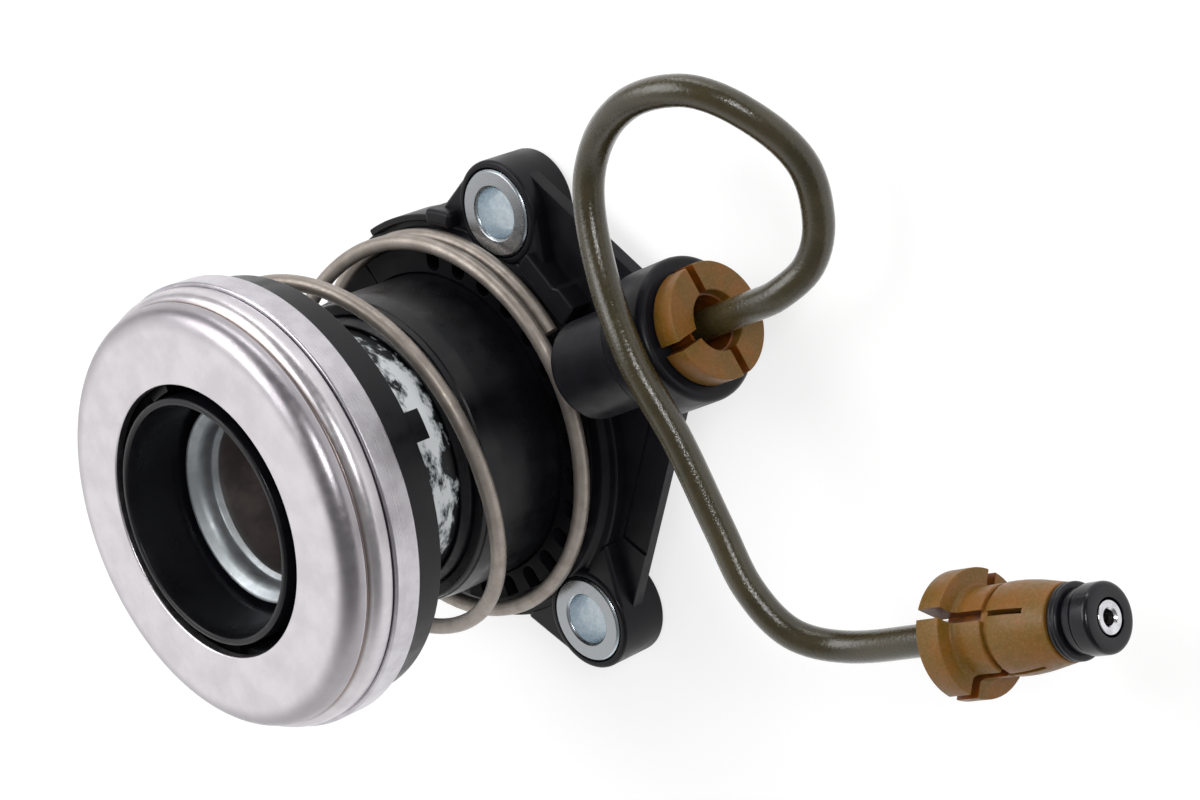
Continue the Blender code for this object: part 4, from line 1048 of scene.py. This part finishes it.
fitting = dict(
    headR=9.0, headEnd=4.0, neckR=6.3, neckEnd=9.0, grooveR=5.6, bodyStart=10.0, bodyR=6.4, coneStart=13.6,
    coneEnd=19.5, coneR=5.35, stemR=3.7, mouthR=4.6, innerStep=15.0, socket=17.0, pipeHoleR=2.65,
    headSlot=1.5, bodySlot=0.8, bodySlotStart=9.8, bodySlotEnd=16.2, shadeRingR=4.2, shadeRingStart=1.8,
    sealR=5.3, sealStart=19.8, sealEnd=21.4, noseStart=21.7, waistEnd=23.1, noseEnd=26.3, noseR=4.85,
    waistR=4.55, tipR=2.35, tipHoleR=1.1, tipStart=23.1, tipEdge=0.35, portHeadX=71.3, portTurnDeg=-10.0,
    farTurnDeg=52.0,
)
farAxis = dict(start=(93.5, -51.7, 21.8), turnDeg=-4.4, riseDeg=1.0, headAt=7.0)


def farDirection():
    turn, rise = math.radians(farAxis["turnDeg"]), math.radians(farAxis["riseDeg"])
    return Vector((math.cos(turn) * math.cos(rise), math.sin(turn) * math.cos(rise), math.sin(rise)))


def farPoint(station):
    return Vector(farAxis["start"]) + farDirection() * station


# One quarter of the slotted head and neck: a quarter turn cut back by half a slot along each side
def colletPetal():
    f = fitting
    petal = turnedMesh(
        [
            (f["mouthR"], 0, 0.25),
            (f["headR"], 0, 0.18),
            (f["headR"], f["headEnd"], 0.2),
            (f["neckR"] + 0.35, f["headEnd"], 0.25),
            (f["neckR"], f["headEnd"] + 0.8, 0.3),
            (f["neckR"], f["neckEnd"], 0.3),
            (f["mouthR"], f["neckEnd"]),
        ],
        28, math.pi / 2,
    )
    half = f["headSlot"] / 2 * mm
    for spot, outward in (((0, half, 0), (0, -1, 0)), ((half, 0, 0), (-1, 0, 0))):
        whole = petal.verts[:] + petal.edges[:] + petal.faces[:]
        opened = bmesh.ops.bisect_plane(
            petal, geom=whole, plane_co=spot, plane_no=outward, clear_outer=True,
        )
        rim = [e for e in opened["geom_cut"] if isinstance(e, bmesh.types.BMEdge)]
        cap = bmesh.ops.contextual_create(petal, geom=rim)
        # The slot walls take the darker, more orange amber: painted shade and painted glow
        for face in cap["faces"]:
            face.material_index = 1
    bmesh.ops.recalc_face_normals(petal, faces=petal.faces)
    return petal


def collet(name, place, turnDeg, node):
    f = fitting
    body = turnedMesh(
        [
            (f["mouthR"], f["neckEnd"] - 0.35),
            (f["grooveR"], f["neckEnd"] - 0.35),
            (f["grooveR"], f["bodyStart"], 0.2),
            (f["bodyR"], f["bodyStart"], 0.4),
            (f["bodyR"], f["coneStart"], 2.2),
            (f["coneR"], f["coneEnd"], 0.2),
            (f["stemR"] + 0.3, f["coneEnd"]),
            (f["stemR"] + 0.3, f["socket"]),
            (f["pipeHoleR"], f["socket"]),
            (f["pipeHoleR"], f["innerStep"]),
            (f["mouthR"], f["innerStep"]),
        ],
        smallSteps,
    )
    half = f["bodySlot"] / 2
    strip = [(-half, -f["headR"]), (half, -f["headR"]), (half, f["headR"]), (-half, f["headR"])]
    across = [(y, x) for x, y in strip]
    slots = [raised(side, f["bodySlotStart"], f["bodySlotEnd"], 0.0) for side in (strip, across)]
    body = cutShell(body, *slots)
    # A ring behind the head and neck in the darker amber, put in as painted shade: it closes the slots
    # from behind so that they read as narrow dark gaps, and the line's highlight does not show through
    behind = f["mouthR"] + 0.15
    shadeRing = turnedMesh([
        (f["shadeRingR"], f["shadeRingStart"], 0.2),
        (behind, f["shadeRingStart"]),
        (behind, f["neckEnd"]),
        (f["shadeRingR"], f["neckEnd"]),
    ], smallSteps)
    for face in shadeRing.faces:
        face.material_index = 1
    addShell(body, shadeRing)
    for quarter in range(4):
        petal = colletPetal()
        move(petal, turnZ(90 * quarter))
        addShell(body, petal)
    move(body, place @ turnZ(turnDeg))
    piece = smoothPiece(name, body, [finishes["amber"], finishes["amberSlotShade"]])
    dress(piece, "housing", "amber_nylon", node)


def noseAndSeal(prefix, place, nodePrefix):
    f = fitting
    nose = [
        (f["pipeHoleR"], f["socket"] + 0.3),
        (f["stemR"], f["socket"] + 0.3),
        (f["stemR"], f["noseStart"]),
        (f["waistR"], f["noseStart"], 0.1),
        (f["waistR"], f["waistEnd"], 0.25),
        (f["noseR"], f["waistEnd"] + 0.35, 0.2),
        (f["noseR"], f["noseEnd"], 0.75),
        (f["pipeHoleR"], f["noseEnd"], 0.1),
    ]
    piece = turnedPiece(prefix + "Nose", nose, "gloss", place, smallSteps)
    dress(piece, "housing", "nose_nylon", nodePrefix + "_nose")
    middle = (f["sealStart"] + f["sealEnd"]) / 2
    seal = [
        (f["stemR"] + 0.3, f["sealStart"]),
        (f["sealR"] - 0.3, f["sealStart"], 0.15),
        (f["sealR"], f["sealStart"] + 0.3, 0.15),
        (f["sealR"], middle - 0.15, 0.1),
        (f["sealR"] - 0.18, middle, 0.05),
        (f["sealR"], middle + 0.15, 0.1),
        (f["sealR"], f["sealEnd"] - 0.3, 0.15),
        (f["sealR"] - 0.3, f["sealEnd"], 0.15),
        (f["stemR"] + 0.3, f["sealEnd"]),
    ]
    piece = turnedPiece(prefix + "Seal", seal, "rubber", place, smallSteps)
    dress(piece, "housing", "seal_rubber", nodePrefix + "_seal")


def lineTip(place):
    f = fitting
    profile = [
        (f["tipHoleR"], f["tipStart"]),
        (f["tipR"], f["tipStart"]),
        (f["tipR"], f["noseEnd"], 0.25),
        (f["tipHoleR"] + f["tipEdge"], f["noseEnd"], 0.1),
        (f["tipHoleR"], f["noseEnd"] - f["tipEdge"]),
    ]
    piece = turnedPiece("lineTip", profile, "polished", place, 64)
    dress(piece, "housing", "zinc_steel", "pipe_end_insert")


portPlace = along((-1, 0, 0), (fitting["portHeadX"], 0, port["z"]))
farPlace = along(farDirection(), farPoint(farAxis["headAt"]))
collet("portCollet", portPlace, fitting["portTurnDeg"], "port_collet")
collet("farCollet", farPlace, fitting["farTurnDeg"], "pipe_end_collet")
noseAndSeal("port", portPlace, "port")
noseAndSeal("far", farPlace, "pipe_end")
lineTip(farPlace)
print("fittings made")


# Hydraulic line

line = dict(radius=2.35, lead=7.0, pointStep=1.0, endGap=0.3)
lineRoute = (
    (84.0, 0.2, 14.1),
    (90.0, 2.5, 12.2),
    (94.6, 8.0, 11.9),
    (97.6, 16.5, 14.2),
    (96.1, 25.8, 20.2),
    (90.3, 31.5, 23.8),
    (78.7, 32.7, 24.8),
    (67.5, 26.9, 24.0),
    (64.2, 15.7, 25.6),
    (66.0, 0.1, 28.6),
    (67.9, -14.1, 27.8),
    (68.5, -28.2, 27.1),
    (69.5, -37.8, 26.9),
    (72.5, -45.6, 25.2),
    (79.0, -49.8, 22.6),
)


def hydraulicLine():
    nearInside, farInside = fitting["noseEnd"] - line["endGap"], fitting["tipStart"] - line["endGap"]
    headX, z = fitting["portHeadX"], port["z"]
    near = [(headX - nearInside, 0, z), (headX, 0, z), (headX + line["lead"], 0, z)]
    far = [tuple(farPoint(s)) for s in (0, line["lead"], line["lead"] + farInside)]
    route = smoothRoute([*near, *lineRoute, *far], line["pointStep"])
    piece = sweptPiece("hydraulicLine", route, line["radius"], "line", 8)
    dress(piece, "housing", "coated_steel", "hydraulic_pipe")


hydraulicLine()
print("line bent")


# Nodes that keep their CAD mesh

kept = dict(
    guide_tube_seal="rubber", gearbox_seal="rubber", piston_seal="rubber", bearing_rear_seal="rubber",
    bearing_inner_race="ground", ball_cage="cage",
)


def finishKeptNodes():
    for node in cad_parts:
        key = "polished" if node.startswith("ball_") and node != "ball_cage" else kept.get(node)
        if not key:
            continue
        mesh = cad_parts[node].data
        mesh.materials.clear()
        mesh.materials.append(finishes[key])


finishKeptNodes()


# Studio: floor, world, lamps and camera

studio = dict(
    floorHalf=3.0, floorZ=-0.3, floorGlow=0.70, floorTint=0.38, bounce=0.72, worldFill=0.55,
    behind=(0.0, 0.65, 0.22), above=(0.05, 0.60, 0.45), cameraAt=(360.9, 1.0, 295.2), lens=82.82,
    right=(0.61639, -0.36725, -0.69656), down=(-0.23223, -0.93002, 0.28484),
    forward=(-0.75241, -0.01381, -0.65854), aim=(45.0, 0.0, 25.0),
)


def lightPathWhite(tree):
    path = addNode(tree, "ShaderNodeLightPath").outputs
    seen = calculate(tree, "MAXIMUM", path["Is Camera Ray"], path["Is Glossy Ray"])
    return calculate(tree, "MAXIMUM", seen, path["Is Transmission Ray"])


def makeFloor():
    bm = bmesh.new()
    bmesh.ops.create_grid(bm, x_segments=2, y_segments=2, size=studio["floorHalf"])
    bmesh.ops.translate(bm, verts=bm.verts, vec=(0, 0, studio["floorZ"] * mm))
    mesh = bpy.data.meshes.new("studioFloor")
    bm.to_mesh(mesh)
    bm.free()
    floor = addObject("studioFloor", mesh)
    mat = bpy.data.materials.new("whitePaintedFloor")
    mat.use_nodes = True
    tree = mat.node_tree
    tree.nodes.remove(tree.nodes["Principled BSDF"])
    seen = lightPathWhite(tree)
    grey = [studio["floorTint"]] * 3 + [1]
    pale = [studio["bounce"]] * 3 + [1]
    colour = blendColour(tree, seen, pale, grey)
    tint = addNode(tree, "ShaderNodeBsdfDiffuse", {"Color": colour}).outputs["BSDF"]
    strength = calculate(tree, "MULTIPLY", seen, studio["floorGlow"])
    glow = addNode(tree, "ShaderNodeEmission", {"Strength": strength}).outputs["Emission"]
    both = addNode(tree, "ShaderNodeAddShader", {0: tint, 1: glow}).outputs["Shader"]
    tree.links.new(both, tree.nodes["Material Output"].inputs["Surface"])
    mesh.materials.append(mat)


# A white surround. Reflections find it dim on the camera's side and above, as the unlit end of a studio
# is: behind and above say from which facing to which it dims, and how far
def makeWorld():
    world = bpy.data.worlds.new("studioWorld")
    world.use_nodes = True
    bpy.context.scene.world = world
    tree = world.node_tree
    seen = lightPathWhite(tree)
    strength = between(tree, seen, 0.0, 1.0, studio["worldFill"], 1.0)
    direction = addNode(tree, "ShaderNodeTexCoord").outputs["Generated"]

    def dimTowards(axis, low, high, darkest):
        feeds = {0: direction, 1: tuple(-Vector(axis))}
        facing = addNode(tree, "ShaderNodeVectorMath", feeds, operation="DOT_PRODUCT").outputs["Value"]
        return between(tree, facing, low, high, 1.0, darkest)

    behind = dimTowards(studio["forward"], *studio["behind"])
    above = dimTowards(studio["down"], *studio["above"])
    dim = calculate(tree, "MINIMUM", behind, above)
    mirrored = addNode(tree, "ShaderNodeLightPath").outputs["Is Glossy Ray"]
    dim = calculate(tree, "MAXIMUM", dim, calculate(tree, "SUBTRACT", 1.0, mirrored))
    strength = calculate(tree, "MULTIPLY", strength, dim)
    tree.links.new(strength, tree.nodes["Background"].inputs["Strength"])
    tree.nodes["Background"].inputs["Color"].default_value = (1, 1, 1, 1)


def makeCamera():
    data = bpy.data.cameras.new("photoCamera")
    data.lens = studio["lens"]
    data.sensor_width = 36
    data.clip_start = 0.01
    data.clip_end = 20
    camera = addObject("photoCamera", data)
    right, down, forward = (Vector(studio[k]) for k in ("right", "down", "forward"))
    turn = Matrix((right, -down, -forward)).transposed().to_4x4()
    camera.matrix_world = Matrix.Translation(Vector(studio["cameraAt"]) * mm) @ turn
    bpy.context.scene.camera = camera


# A soft box placed by how far right, up and towards the camera it stands from the object
def softBox(name, right, up, back, size, power):
    data = bpy.data.lights.new(name, "AREA")
    data.shape = "RECTANGLE"
    data.size, data.size_y = size
    data.energy = power
    lamp = addObject(name, data)
    aim = Vector(studio["aim"]) * mm
    axes = Vector(studio["right"]), -Vector(studio["down"]), -Vector(studio["forward"])
    place = aim + axes[0] * right + axes[1] * up + axes[2] * back
    turn = (aim - place).to_track_quat("-Z", "Y").to_matrix().to_4x4()
    lamp.matrix_world = Matrix.Translation(place) @ turn


makeFloor()
makeWorld()
makeCamera()
softBox("keyBox", 0.55, 0.55, 0.45, (0.45, 0.45), 6.0)
softBox("fillBox", -0.75, 0.25, 0.30, (0.5, 0.7), 4.0)
softBox("topBox", -0.10, 0.80, 0.10, (0.7, 0.3), 4.0)
softBox("frontBox", 0.12, 0.16, 0.95, (0.20, 0.20), 2.5)
bpy.context.scene.view_settings.view_transform = "Standard"
print("studio lit")
